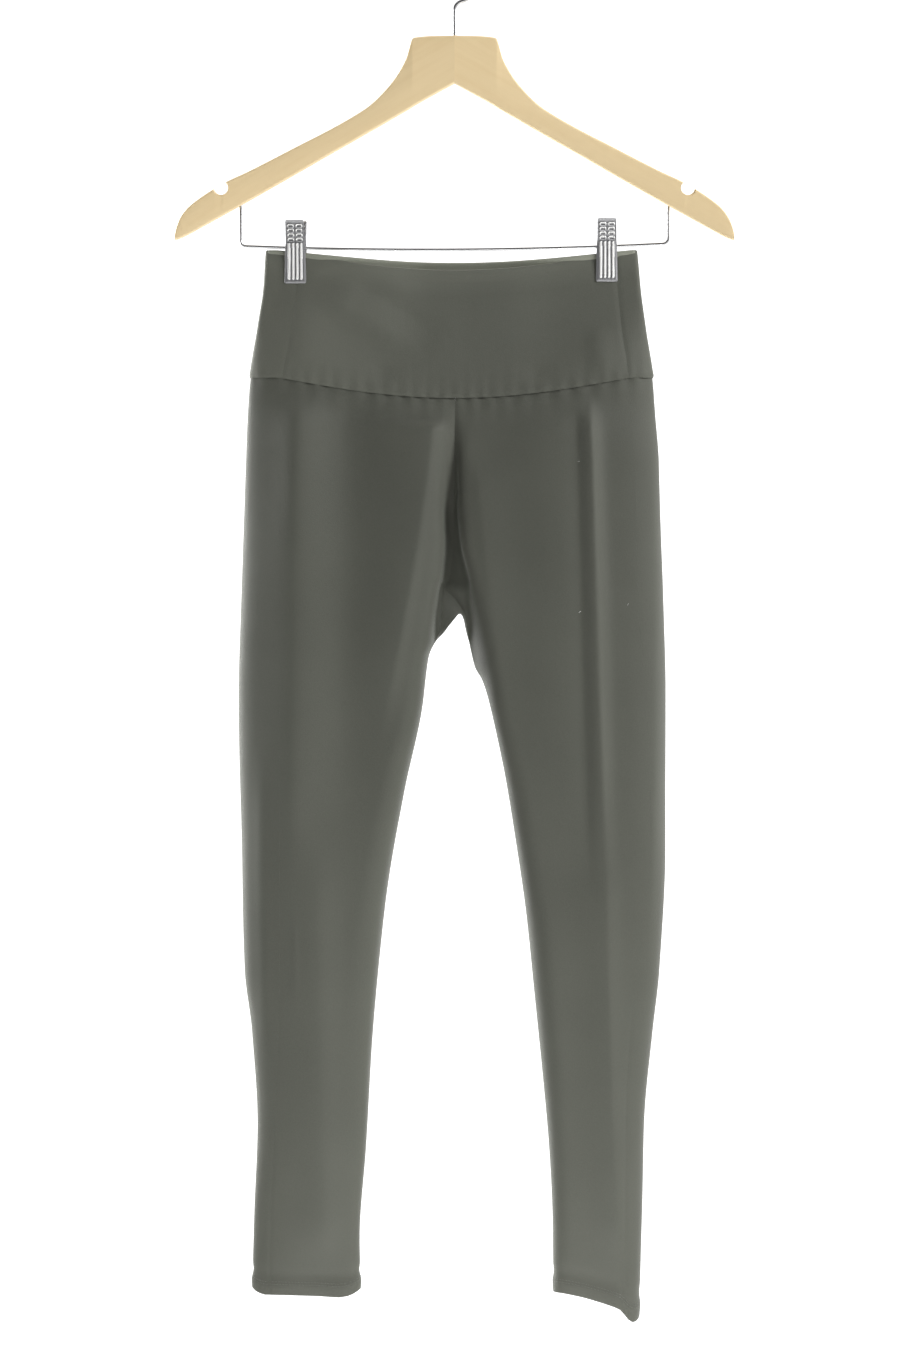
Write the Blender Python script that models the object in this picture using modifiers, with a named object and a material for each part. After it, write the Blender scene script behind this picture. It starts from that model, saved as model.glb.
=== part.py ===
"""High-waisted jogging leggings hung by two metal clips on a contoured wooden hanger.

The origin is the inside of the hook's crown, where a rail carries it. +Z is up, the
garment's front faces -Y, and the wearer's right side is at -X. Tables are in millimetres
and MM turns them into metres; every other length is in metres.
"""

import math
from collections import namedtuple

import bmesh
import bpy
import numpy as np

MM = 0.001

# Cloth
CLOTH = 1.0 * MM
DOUBLE_CLOTH = 1.9 * MM
HEM_DEPTH = 12.0
HEM_STEP = 2.0
SEAM_GAP = 0.3
HEM_SEAM_GAP = 0.8
RISE_GAP = 0.2
PINCHED_HALF = 2.1
CLIP_FLAT_HALF = 15.0
PINCH_INNER = 105.0
PINCH_OUTER = 55.0
PINCH_BOTTOM = -269.0
PINCH_END = -325.0
BAND_TOP = -239.6
BAND_SEAM = -340.0
SAG_END = -470.0
SAG_HALF_WIDTH = 142.0
FRONT_TOP_SAG = 16.0
FRONT_SEAM_SAG = 16.3
BACK_TOP_SAG = 9.6
BACK_SEAM_SAG = 9.0
SAG_SHAPE = 1.2
TILT_CURVE = 1.6
FOLD_RISE = 6.0
FOLD_FALL = 4.0
CROTCH_OPEN = 0.05

# Sections: points along the turned-in part, the face and the outer edge; where the face's
# middle lies; how squarely the outer edge turns; how much closer points come in a bend.
TURN_POINTS = 22
FLAT_POINTS = 10
EDGE_POINTS = 26
MIDDLE_SHARE = 0.45
MIDDLE_REACH = 0.4
ROUNDING = 2.5
BEND_WEIGHT = 7.0

# Hanger
ARM_SPAN = 222.0
ARM_SWEEP = 20.0
HEAD_THICKNESS = 13.0
TIP_THICKNESS = 9.0
EDGE_RADIUS = 2.5 * MM
CORNER_STEPS = 2
CORNER_LIMIT = 0.45
NOTCH_X = 185.3
NOTCH_Z = -189.3
NOTCH_RADIUS = 5.4 * MM
NOTCH_LENGTH = 40 * MM
NOTCH_SIDES = 20
HOOK_WIRE = 1.6 * MM
HOOK_RADIUS = 21.0 * MM
HOOK_NECK_RADIUS = 7.0 * MM
HOOK_STEM_DEPTH = 25.0 * MM
HOOK_SWEEP = math.radians(205)
NECK_POINTS = 7
CROWN_POINTS = 30
HEAD_TOP = -67.2 * MM
BAR_WIRE = 1.25 * MM
BAR_HALF = 169.8
BAR_BEND = 4.5
BAR_TOP = -198.0
BAR_END_Z = -234.2
BAR_MID_Z = -238.0
BAR_TILT = 1.0
BAR_POINTS = 9
BEND_POINTS = 5
BORE_CLEARANCE = 0.35 * MM
BORE_SIDES = 12
BAR_BORE_LENGTH = 24 * MM
BAR_BORE_DROP = 10.0
END_PLAY = 1 * MM
WIRE_RESOLUTION = 2

# Clips
CLIP_X = {"r": -126.0, "l": 121.0}
CLIP_LIFT = {"r": 1.0, "l": 1.2}
CLIP_TURN = {"r": math.radians(-8), "l": 0.0}
PLATE = 0.8 * MM
PLATE_HALF_TOP = 7.6
PLATE_HALF_JAW = 8.7
RIBS = 4
RIB_STEPS = 4
RIB_HEIGHT = 0.8
SPRING = 0.5 * MM
SPRING_HALF = 4.0

SIDES = {"r": -1, "l": 1}

# Outer part of each leg's section: the outermost edge, where the side seam shows on the
# front, the depth of the front and back faces, and how much lower the outer edge hangs.
Outer = namedtuple("Outer", "z out_x out_y side_x front_y back_y tilt")
OUTER = {
    "r": [
        Outer(-239, -150.0, 0, -123.5, -5.5, 8.5, 0),
        Outer(-266, -151.3, 0, -125.2, -6.5, 10.5, 0),
        Outer(-302, -156.5, 0, -129.5, -9.5, 13, 0),
        Outer(-340, -162.4, 0, -135.9, -16, 16, 0),
        Outer(-421, -166.3, 0, -137.5, -23, 22, 0),
        Outer(-516, -169.3, 1, -137.2, -28, 27, 0),
        Outer(-588, -171.4, 1, -137.5, -28, 28, 0),
        Outer(-715, -169.2, 2, -138.0, -26, 26, 0),
        Outer(-810, -166.9, 2, -138.5, -23, 24, 0),
        Outer(-858, -161.1, 2, -139.5, -21, 22, 0),
        Outer(-930, -156.7, 1, -142.0, -18, 19, 0),
        Outer(-1001, -159.1, 0, -145.5, -14, 13, -1),
        Outer(-1069, -161.0, 0, -147.0, -11, 9, -2.6),
    ],
    "l": [
        Outer(-239, 145.4, 0, 127.5, -5.5, 8.5, 0),
        Outer(-266, 147.2, 0, 129.5, -6.5, 10.5, 0),
        Outer(-302, 151.7, 0, 133.0, -9.5, 13, 0),
        Outer(-340, 157.6, 0, 138.2, -16, 16, 0),
        Outer(-421, 161.5, 0, 141.5, -23, 22, 0),
        Outer(-516, 165.0, 0, 143.5, -28, 27, 0),
        Outer(-588, 167.6, 0, 149.0, -28, 28, 0),
        Outer(-715, 167.2, 1, 153.5, -26, 27, 0),
        Outer(-810, 162.7, 1, 146.5, -24, 25, 0),
        Outer(-858, 157.4, 1, 139.0, -23, 24, 0),
        Outer(-930, 151.0, 0, 135.5, -21, 22, 0),
        Outer(-1001, 148.6, 0, 134.5, -19, 19, 8),
        Outer(-1065, 146.8, 0, 133.0, -18, 17, 25),
    ],
}

# Inner part of the front and of the back: the crest where the face turns in, how far its
# fold reaches to the middle, the direction in which it meets the seam, and the seam itself.
Inner = namedtuple("Inner", "z crest_x crest_y fold_x wall_x wall_y seam_x seam_y")
FRONT = {
    "r": [
        Inner(-239, -40, -5.6, -24, -10, 0, 0.5, -5.6),
        Inner(-302, -40, -9.6, -24, -10, 0, 0.5, -9.6),
        Inner(-340, -26, -16.4, -14, -6, -0.2, 0.5, -16.4),
        Inner(-372, -16, -18.8, -8, -5.0, -1.5, 0.3, -15.0),
        Inner(-421, -17, -22.8, -8, -8, -1, 0, -10.5),
        Inner(-450, -18, -24.6, -6, -10, 0, -1.0, -5.5),
        Inner(-470, -20, -26.0, -3, -10, 0, -1.0, -4.0),
        Inner(-500, -24, -27.6, -4, -11, 2, -4.0, -5.0),
        Inner(-506, -25, -27.8, -6, -9, 5, -7.5, -6.0),
        Inner(-528, -29, -28.2, -9, -10, 5, -10.0, -2.0),
        Inner(-541, -31, -28.2, -11, -8.5, 3, -11.5, 1.5),
        Inner(-549, -32, -28.1, -13, -4, -3, -15.0, 3.0),
        Inner(-556, -33.5, -28.1, -17, 0, -7, -19.0, 3.3),
        Inner(-562, -35, -28.0, -20, 0, -8, -21.0, 3.6),
        Inner(-600, -42, -27.0, -25, 0, -12, -25.4, 3.0),
        Inner(-667, -60, -26.0, -39.8, 0, -13, -39.8, 3.0),
        Inner(-763, -78, -24.0, -55.3, 0, -12, -55.3, 3.0),
        Inner(-858, -88, -20.5, -64.4, 0, -11, -64.4, 2.0),
        Inner(-953, -92, -16.5, -70.3, 0, -9, -70.3, 1.0),
        Inner(-1025, -93, -12.5, -75.2, 0, -7, -75.2, 0.0),
        Inner(-1069, -93, -11.0, -74.4, 0, -6, -74.4, 0.0),
    ],
    "l": [
        Inner(-239, 40, -5.6, 24, 10, 0, 0.5, -5.6),
        Inner(-302, 40, -9.6, 24, 10, 0, 0.5, -9.6),
        Inner(-340, 26, -16.4, 14, 6, -0.2, 0.5, -16.4),
        Inner(-372, 14, -18.8, 5, 3.5, -1.5, 0.3, -15.0),
        Inner(-421, 13, -23.0, -1, 6, -2, 0, -10.5),
        Inner(-450, 14, -25.0, -3, 8, -1, -1.0, -5.5),
        Inner(-470, 15, -26.2, -3, 12, 0, -1.0, -4.0),
        Inner(-500, 21, -27.8, 3.5, 26, 2, -4.0, -5.0),
        Inner(-506, 23, -28.0, 4, 31, 5, -7.5, -6.0),
        Inner(-517, 25.5, -28.3, 8, 18, 5, 1.5, -4.0),
        Inner(-528, 28, -28.4, 12, 10, 3, 8.0, -2.0),
        Inner(-541, 32, -28.4, 15, 8.5, -1, 10.2, 1.5),
        Inner(-549, 34, -28.3, 17, 7, -4, 11.6, 3.0),
        Inner(-556, 35.5, -28.3, 19, 6.5, -5, 13.0, 3.3),
        Inner(-570, 38, -28.2, 22.5, 4, -8, 16.3, 4.0),
        Inner(-580, 40, -28.0, 25, 1.5, -10, 22.0, 3.6),
        Inner(-600, 44, -27.6, 27.5, 0, -12, 28.2, 3.0),
        Inner(-667, 60, -26.0, 42.2, 0, -13, 42.2, 3.0),
        Inner(-763, 76, -24.5, 56.5, 0, -12, 56.5, 3.0),
        Inner(-858, 86, -22.5, 66.4, 0, -11, 66.4, 2.0),
        Inner(-953, 92, -20.0, 74.9, 0, -10, 74.9, 1.0),
        Inner(-1025, 95, -18.5, 78.2, 0, -10, 78.2, 0.0),
        Inner(-1065, 96, -18.0, 78.3, 0, -10, 78.3, 0.0),
    ],
}
BACK = {
    "r": [
        Inner(-239, -40, 8.8, -24, -10, 0, 0.5, 8.9),
        Inner(-302, -40, 13.4, -24, -10, 0, 0.5, 13.6),
        Inner(-340, -26, 16.4, -14, -6, 0.2, 0.5, 16.4),
        Inner(-372, -20, 18.6, -9, -5, 1.0, 0.5, 17.0),
        Inner(-421, -22, 22.4, -8, -5, 2.5, 0.6, 17.5),
        Inner(-470, -24, 25.4, -7, -5, 4.5, 1.4, 16.0),
        Inner(-500, -26, 27.0, -6, -6, 5, 3.0, 13.5),
        Inner(-506, -26, 27.2, -3, -7, 5, 4.0, 12.0),
        Inner(-528, -28, 27.4, -1, -2, 6, 0.0, 10.0),
        Inner(-541, -31, 27.6, -8, 1, 6, -7.5, 7.5),
        Inner(-549, -34, 27.7, -13, 1, 7, -15.0, 5.0),
        Inner(-556, -36.5, 27.7, -17, 1, 7, -19.0, 4.6),
        Inner(-562, -38, 27.8, -19, 1, 7, -21.0, 4.2),
        Inner(-600, -46, 28.0, -25.4, 0, 12, -25.4, 3.0),
        Inner(-667, -62, 27.0, -39.8, 0, 12, -39.8, 3.0),
        Inner(-763, -78, 25.0, -55.3, 0, 12, -55.3, 3.0),
        Inner(-858, -88, 21.5, -64.4, 0, 11, -64.4, 2.0),
        Inner(-953, -92, 16.0, -70.3, 0, 8, -70.3, 1.0),
        Inner(-1025, -93, 10.5, -75.2, 0, 6, -75.2, 0.0),
        Inner(-1069, -93, 9.0, -74.4, 0, 5, -74.4, 0.0),
    ],
    "l": [
        Inner(-239, 40, 8.8, 24, 10, 0, 0.5, 8.9),
        Inner(-302, 40, 13.4, 24, 10, 0, 0.5, 13.6),
        Inner(-340, 26, 16.4, 14, 6, 0.2, 0.5, 16.4),
        Inner(-372, 20, 18.6, 9, 5, 1.0, 0.5, 17.0),
        Inner(-421, 22, 22.4, 8, 5, 2.5, 0.6, 17.5),
        Inner(-470, 25, 25.4, 9, 5, 4.5, 1.4, 16.0),
        Inner(-500, 28, 27.0, 11, 6, 5, 3.0, 13.5),
        Inner(-506, 30, 27.2, 11, 6, 5, 4.0, 12.0),
        Inner(-528, 31, 27.4, 8, 1, 6, 7.0, 10.0),
        Inner(-541, 34, 27.6, 9, 0, 6, 9.5, 7.5),
        Inner(-549, 36, 27.7, 11, 0, 7, 11.6, 5.0),
        Inner(-556, 38, 27.7, 13, 0, 7, 13.0, 4.7),
        Inner(-570, 42, 27.8, 19, 0, 7, 16.3, 4.6),
        Inner(-580, 44.5, 27.9, 22, 0, 9, 22.0, 4.2),
        Inner(-600, 48, 28.0, 28.2, 0, 12, 28.2, 3.0),
        Inner(-667, 62, 27.0, 42.2, 0, 12, 42.2, 3.0),
        Inner(-763, 76, 26.0, 56.5, 0, 12, 56.5, 3.0),
        Inner(-858, 86, 23.5, 66.4, 0, 11, 66.4, 2.0),
        Inner(-953, 92, 20.0, 74.9, 0, 10, 74.9, 1.0),
        Inner(-1025, 95, 18.0, 78.2, 0, 9, 78.2, 0.0),
        Inner(-1065, 96, 17.0, 78.3, 0, 9, 78.3, 0.0),
    ],
}

# Large folds of the leg fronts: a trough is positive, because +Y is into the cloth.
Fold = namedtuple("Fold", "side top_x bottom_x top_z bottom_z width depth")
FOLDS = [
    Fold("l", 102.0, 107.0, -365, -735, 8.0, 4.5),
    Fold("l", 112.0, 122.0, -365, -900, 7.0, -2.0),
    Fold("r", -134.0, -136.0, -400, -860, 8.0, 2.0),
    Fold("r", -108.0, -100.0, -420, -1060, 14.0, -1.6),
]

# Heights of the rows of a leg panel; the gusset takes its rows from the crotch's.
GUSSET_ROWS = [-506, -515, -524, -532, -540, -549]
LEG_ROWS = ([-340, -358, -382, -410, -438, -466, -488] + GUSSET_ROWS
            + [-562, -588, -620, -660, -705, -755, -805, -835, -865, -910, -960, -1010])
FRONT_COLUMNS = 14
BACK_COLUMNS = 16
BAND_BACK_COLUMNS = 21
BAND_ROWS = [-239.6, -246, -254, -262, -272, -284, -298, -312, -326, -340]

# Hanger arm in front view: distance from the middle, top edge and lower edge.
Station = namedtuple("Station", "x top bottom")
ARM = [
    Station(0.15, -67.1, -105.4),
    Station(17, -67.4, -114.8),
    Station(31.5, -68.6, -123.0),
    Station(33.8, -69.8, -124.5),
    Station(35.6, -75.5, -125.6),
    Station(38.2, -84.5, -127.2),
    Station(42, -92.5, -129.4),
    Station(48, -102.0, -132.9),
    Station(57, -112.8, -138.2),
    Station(68, -123.2, -144.5),
    Station(82, -132.4, -152.6),
    Station(100, -142.6, -162.9),
    Station(125, -155.6, -177.5),
    Station(150, -168.8, -192.0),
    Station(166, -177.0, -201.2),
    Station(178, -182.6, -208.0),
    Station(192, -190.6, -216.0),
    Station(203, -198.0, -222.2),
    Station(212, -205.6, -227.2),
    Station(217.5, -213.0, -229.8),
    Station(220.6, -220.4, -230.8),
    Station(222, -226.4, -231.0),
]

# Side view of a clip plate: height above the bar, distance of its inner face from the
# middle plane, half width, and how strongly the ribs stand out.
Rung = namedtuple("Rung", "z y half rib")
PLATE_ROWS = [
    Rung(20.6, 8.4, PLATE_HALF_TOP, 0.0),
    Rung(18.8, 7.2, PLATE_HALF_TOP, 0.0),
    Rung(11.0, 5.4, PLATE_HALF_TOP, 0.0),
    Rung(3.5, 3.6, PLATE_HALF_TOP, 0.0),
    Rung(1.5, 3.2, PLATE_HALF_JAW, 0.4),
    Rung(-0.5, 3.0, PLATE_HALF_JAW, 1.0),
    Rung(-12.0, 2.7, PLATE_HALF_JAW, 1.0),
    Rung(-25.0, 2.5, PLATE_HALF_JAW, 1.0),
    Rung(-26.4, 2.5, PLATE_HALF_JAW, 0.0),
    Rung(-29.4, 2.5, PLATE_HALF_JAW, 0.0),
]

# Half of the spring strip's side view: distance from the middle plane and height.
SPRING_STRIP = [(6.1, 17.0), (4.1, 8.0), (2.8, 1.5), (2.5, -1.2), (1.4, -2.4), (0, -2.8)]

Finish = namedtuple("Finish", "colour roughness metallic")
FINISHES = {
    "legging_cloth": Finish((0.085, 0.088, 0.072), 0.75, 0.0),
    "hanger_wood": Finish((0.68, 0.52, 0.30), 0.5, 0.0),
    "chrome": Finish((0.75, 0.75, 0.76), 0.15, 1.0),
}


def bar_y():
    """Depth of the plane of the bar, which joins the swept arms."""
    return -ARM_SWEEP * (BAR_HALF / ARM_SPAN) ** 2


def smooth(t):
    """0 to 1 with level ends."""
    t = min(1.0, max(0.0, t))
    return t * t * (3 - 2 * t)


def at(rows, z):
    """A table's row at any height, by monotone cubics between its rows."""
    rows = sorted(rows, key=lambda row: row.z)
    heights = np.array([row.z for row in rows], dtype=float)
    z = float(min(max(z, heights[0]), heights[-1]))
    k = int(min(max(np.searchsorted(heights, z) - 1, 0), len(rows) - 2))
    values = np.array(rows, dtype=float)
    steps = np.diff(heights)[:, None]
    slopes = np.diff(values, axis=0) / steps
    tangents = np.zeros_like(values)
    tangents[0], tangents[-1] = slopes[0], slopes[-1]
    same_way = slopes[:-1] * slopes[1:] > 0
    total = np.abs(slopes[:-1]) + np.abs(slopes[1:]) + 1e-12
    tangents[1:-1] = np.where(same_way, 2 * slopes[:-1] * np.abs(slopes[1:]) / total, 0.0)
    span = heights[k + 1] - heights[k]
    t = (z - heights[k]) / span
    blend = (2 * t**3 - 3 * t**2 + 1, t**3 - 2 * t**2 + t, 3 * t**2 - 2 * t**3, t**3 - t**2)
    value = (blend[0] * values[k] + blend[1] * span * tangents[k]
             + blend[2] * values[k + 1] + blend[3] * span * tangents[k + 1])
    return type(rows[0])(*value)


def bezier(p0, p1, p2, p3, count):
    """Points along a cubic curve."""
    t = np.linspace(0, 1, count)[:, None]
    return ((1 - t)**3 * p0 + 3 * (1 - t)**2 * t * p1 + 3 * (1 - t) * t**2 * p2 + t**3 * p3)


def face_path(inner, outer, outer_y):
    """Plan points of one face, from its inner seam over the crest and middle to the edge."""
    seam = np.array([inner.seam_x, inner.seam_y])
    crest = np.array([inner.crest_x, inner.crest_y])
    wall = seam + np.array([inner.wall_x, inner.wall_y])
    fold = np.array([inner.fold_x, inner.crest_y])
    middle_x = crest[0] + MIDDLE_SHARE * (outer.out_x - crest[0])
    middle = np.array([middle_x, outer_y])
    reach = np.array([MIDDLE_REACH * (middle_x - crest[0]), 0.0])
    turn = bezier(seam, wall, fold, crest, TURN_POINTS)
    flat = bezier(crest, crest + reach, middle - reach, middle, FLAT_POINTS)
    angles = np.linspace(0, math.pi / 2, EDGE_POINTS)
    power = 2 / ROUNDING
    end_x = middle_x + (outer.out_x - middle_x) * np.sin(angles)**power
    end_y = outer.out_y + (outer_y - outer.out_y) * np.cos(angles)**power
    end = np.column_stack([end_x, end_y])
    return np.vstack([turn[:-1], flat[:-1], end])


def ring(side, z):
    """The whole section of one half: front path and back path, both from seam to edge."""
    outer = at(OUTER[side], z)
    front = face_path(at(FRONT[side], z), outer, outer.front_y)
    back = face_path(at(BACK[side], z), outer, outer.back_y)
    return outer, front, back


def split_at_side(front, side_x):
    """The front path cut where it crosses the side seam, near its outer edge."""
    far = np.abs(front[:, 0])
    k = int(np.nonzero(far >= abs(side_x))[0][0])
    t = (abs(side_x) - far[k - 1]) / (far[k] - far[k - 1])
    cut = front[k - 1] + t * (front[k] - front[k - 1])
    return np.vstack([front[:k], cut]), np.vstack([cut, front[k:]])


def spaced(path, count, start_gap=0.0, end_gap=0.0):
    """Points along a path, spaced by length and closer together in its bends."""
    steps = np.diff(path, axis=0)
    length = np.linalg.norm(steps, axis=1)
    keep = np.concatenate([[True], length > 1e-6])
    path = path[keep]
    steps = np.diff(path, axis=0)
    length = np.linalg.norm(steps, axis=1)
    heading = np.unwrap(np.arctan2(steps[:, 1], steps[:, 0]))
    turning = np.concatenate([[0], np.abs(np.diff(heading))])
    along = np.concatenate([[0], np.cumsum(length)])
    cost = np.concatenate([[0], np.cumsum(length + BEND_WEIGHT * turning)])
    first = np.interp(start_gap, along, cost)
    last = np.interp(along[-1] - end_gap, along, cost)
    marks = np.interp(np.linspace(first, last, count), cost, along)
    return np.column_stack([np.interp(marks, along, path[:, k]) for k in (0, 1)])


def pinched(point, z):
    """A waistband point, pressed flat under the clips and turned as they are."""
    x, y = point
    side = "l" if x > 0 else "r"
    fade = 1 - smooth((PINCH_BOTTOM - z) / (PINCH_BOTTOM - PINCH_END))
    off = abs(x - CLIP_X[side]) - CLIP_FLAT_HALF
    reach = PINCH_OUTER if abs(x) > abs(CLIP_X[side]) else PINCH_INNER
    press = fade * (1 - smooth(off / (reach - CLIP_FLAT_HALF)))
    turned = press * (x - CLIP_X[side]) * math.tan(CLIP_TURN[side])
    if abs(y) > PINCHED_HALF:
        y = math.copysign(PINCHED_HALF + (abs(y) - PINCHED_HALF) * (1 - press), y)
    return x, y + turned


def sag(x, face, z):
    """How much lower the cloth hangs between the clips, at the waistband and below it."""
    shape = max(0.0, 1 - (x / SAG_HALF_WIDTH)**2)**SAG_SHAPE
    front = face < 0
    top, seam = (FRONT_TOP_SAG, FRONT_SEAM_SAG) if front else (BACK_TOP_SAG, BACK_SEAM_SAG)
    if z > BAND_SEAM:
        amount = seam + (top - seam) * (z - BAND_SEAM) / (BAND_TOP - BAND_SEAM)
    else:
        amount = seam * (1 - smooth((BAND_SEAM - z) / (BAND_SEAM - SAG_END)))
    return amount * shape


def folded(side, point, z):
    """A front point moved by the large folds."""
    x, y = point
    for fold in FOLDS:
        if fold.side != side or not fold.bottom_z < z < fold.top_z:
            continue
        t = (fold.top_z - z) / (fold.top_z - fold.bottom_z)
        middle = fold.top_x + t * (fold.bottom_x - fold.top_x)
        strength = smooth(FOLD_RISE * t) * smooth(FOLD_FALL * (1 - t))
        y += fold.depth * strength * math.exp(-((x - middle) / fold.width)**2)
    return x, y


def placed(side, point, z, outer, inner_x):
    """A plan point of a leg, in space."""
    x, y = point
    t = max(0.0, (x - inner_x) / (outer.out_x - inner_x))
    return x, y, z - sag(x, y, z) - outer.tilt * t**TILT_CURVE


def band_row(z, face):
    """One row of the front or back of the waistband, from the wearer's right to left."""
    row = []
    for side in ("r", "l"):
        outer, front, back = ring(side, z)
        face_part, wrap = split_at_side(front, outer.side_x)
        if face == "front":
            half = spaced(face_part, FRONT_COLUMNS, end_gap=SEAM_GAP / 2)
        else:
            around = np.vstack([wrap, back[::-1][1:]])
            half = spaced(around, BAND_BACK_COLUMNS, SEAM_GAP / 2)[::-1]
        half = [(*pinched(p, z), z - sag(*p, z)) for p in half]
        row = half[::-1] if side == "r" else row + half[1:]
    return row


def leg_row(side, z, face):
    """One row of a leg's front or back panel, from its inner seam."""
    outer, front, back = ring(side, z)
    crotch_open = abs(front[0, 1] - back[0, 1]) > CROTCH_OPEN
    inner_x = front[0, 0]
    face_part, wrap = split_at_side(front, outer.side_x)
    hem_top = OUTER[side][-1].z + HEM_DEPTH + HEM_STEP
    gap = (HEM_SEAM_GAP if z <= hem_top else SEAM_GAP) / 2
    if face == "front":
        path = face_part
        columns = FRONT_COLUMNS
    else:
        path = np.vstack([wrap, back[::-1][1:]])[::-1]
        columns = BACK_COLUMNS
    row = spaced(path, columns, gap, gap)
    if crotch_open:
        row[0, 0] = path[0, 0] + SIDES[side] * RISE_GAP
    if face == "front":
        row = [folded(side, p, z) for p in row]
    return [placed(side, p, z, outer, inner_x) for p in row]


def new_object(name, mesh, finish, parent):
    """A mesh object of the model, with its material."""
    obj = bpy.data.objects.new(name, mesh)
    COLLECTION.objects.link(obj)
    mesh.materials.append(MATERIALS[finish])
    obj.parent = parent
    return obj


def add_grid(name, rows, finish, parent, flip):
    """An open surface of quads through rows of points given in millimetres."""
    count = len(rows[0])
    points = [(x * MM, y * MM, z * MM) for row in rows for x, y, z in row]
    faces = []
    for r in range(len(rows) - 1):
        for c in range(count - 1):
            a = r * count + c
            quad = (a, a + count, a + count + 1, a + 1)
            faces.append(quad[::-1] if flip else quad)
    mesh = bpy.data.meshes.new(name)
    mesh.from_pydata(points, [], faces)
    mesh.shade_smooth()
    return new_object(name, mesh, finish, parent)


def thicken(obj, thickness):
    """Gives a surface a wall that grows inwards."""
    wall = obj.modifiers.new("wall", "SOLIDIFY")
    wall.thickness = thickness
    wall.offset = -1
    wall.use_even_offset = True
    return wall


def build_waistband(parent):
    """The double waistband: a front between its two upright seams, and the rest."""
    front = [band_row(z, "front") for z in band_heights()]
    back = [band_row(z, "back") for z in band_heights()]
    thicken(add_grid("waistband_front", front, "legging_cloth", parent, False), DOUBLE_CLOTH)
    thicken(add_grid("waistband_back", back, "legging_cloth", parent, True), DOUBLE_CLOTH)


def band_heights():
    """The waistband's rows, its last one just above the waist seam."""
    return BAND_ROWS[:-1] + [BAND_ROWS[-1] + SEAM_GAP / 2]


def build_leg_panel(side, face, parent):
    """A leg panel with the turned-up hem as a thicker band along its lower edge."""
    hem = OUTER[side][-1].z
    heights = [LEG_ROWS[0] - SEAM_GAP / 2] + LEG_ROWS[1:]
    heights += [hem + HEM_DEPTH + HEM_STEP, hem + HEM_DEPTH, hem + HEM_DEPTH / 2, hem]
    rows = [leg_row(side, z, face) for z in heights]
    flip = (face == "front") == (side == "r")
    obj = add_grid(f"leg_{face}_{side}", rows, "legging_cloth", parent, flip)
    wall = thicken(obj, DOUBLE_CLOTH)
    columns = len(rows[0])
    weights = obj.vertex_groups.new(name="double")
    for r, z in enumerate(heights):
        share = 1.0 if z <= hem + HEM_DEPTH else CLOTH / DOUBLE_CLOTH
        weights.add(range(r * columns, (r + 1) * columns), share, "REPLACE")
    wall.vertex_group = "double"


def gusset_edge(side, face):
    """The gusset's edge along one leg panel, from its front or back corner outwards."""
    rows = [leg_row(side, z, face)[0] for z in GUSSET_ROWS]
    away = -SIDES[side] * SEAM_GAP
    return [np.array([x + away, y, z]) for x, y, z in rows]


def build_gusset(parent):
    """The crotch piece, blended between the four leg panels' edges."""
    front_r, front_l = gusset_edge("r", "front"), gusset_edge("l", "front")
    back_r, back_l = gusset_edge("r", "back"), gusset_edge("l", "back")
    front = (front_r[0] + front_l[0]) / 2
    back = (back_r[0] + back_l[0]) / 2
    right = (front_r[-1] + back_r[-1]) / 2
    left = (front_l[-1] + back_l[-1]) / 2
    c0 = [front] + front_r[1:-1] + [right]
    c1 = [left] + back_l[::-1][1:-1] + [back]
    d0 = [front] + front_l[1:-1] + [left]
    d1 = [right] + back_r[::-1][1:-1] + [back]
    rows = []
    steps = len(GUSSET_ROWS)
    last = steps - 1
    for i in range(steps):
        v = i / last
        row = []
        for j in range(steps):
            u = j / last
            point = ((1 - v) * c0[j] + v * c1[j] + (1 - u) * d0[i] + u * d1[i]
                     - (1 - u) * (1 - v) * front - u * (1 - v) * right
                     - (1 - u) * v * left - u * v * back)
            row.append(tuple(point))
        rows.append(row)
    thicken(add_grid("gusset", rows, "legging_cloth", parent, False), CLOTH)


def build_garment():
    """All cloth pieces, hung in the plane of the bar."""
    parent = bpy.data.objects.new("garment", None)
    parent.location = (0, bar_y() * MM, 0)
    COLLECTION.objects.link(parent)
    build_waistband(parent)
    for side in SIDES:
        for face in ("front", "back"):
            build_leg_panel(side, face, parent)
    build_gusset(parent)


def arm_y(x):
    """Depth of an arm's middle at a distance from the hanger's middle."""
    return -ARM_SWEEP * (x / ARM_SPAN)**2


def rounded_section(half, top, bottom):
    """Depths and heights round an arm's section, a rectangle with rounded corners."""
    radius = min(EDGE_RADIUS / MM, CORNER_LIMIT * half, CORNER_LIMIT * (top - bottom))
    points = []
    for corner, (across, up) in enumerate(((-1, 1), (1, 1), (1, -1), (-1, -1))):
        middle_y = across * (half - radius)
        middle_z = (top if up > 0 else bottom) - up * radius
        for step in range(CORNER_STEPS + 1):
            angle = math.pi - (corner + step / CORNER_STEPS) * math.pi / 2
            points.append((middle_y + radius * math.cos(angle), middle_z + radius * math.sin(angle)))
    return points


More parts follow.
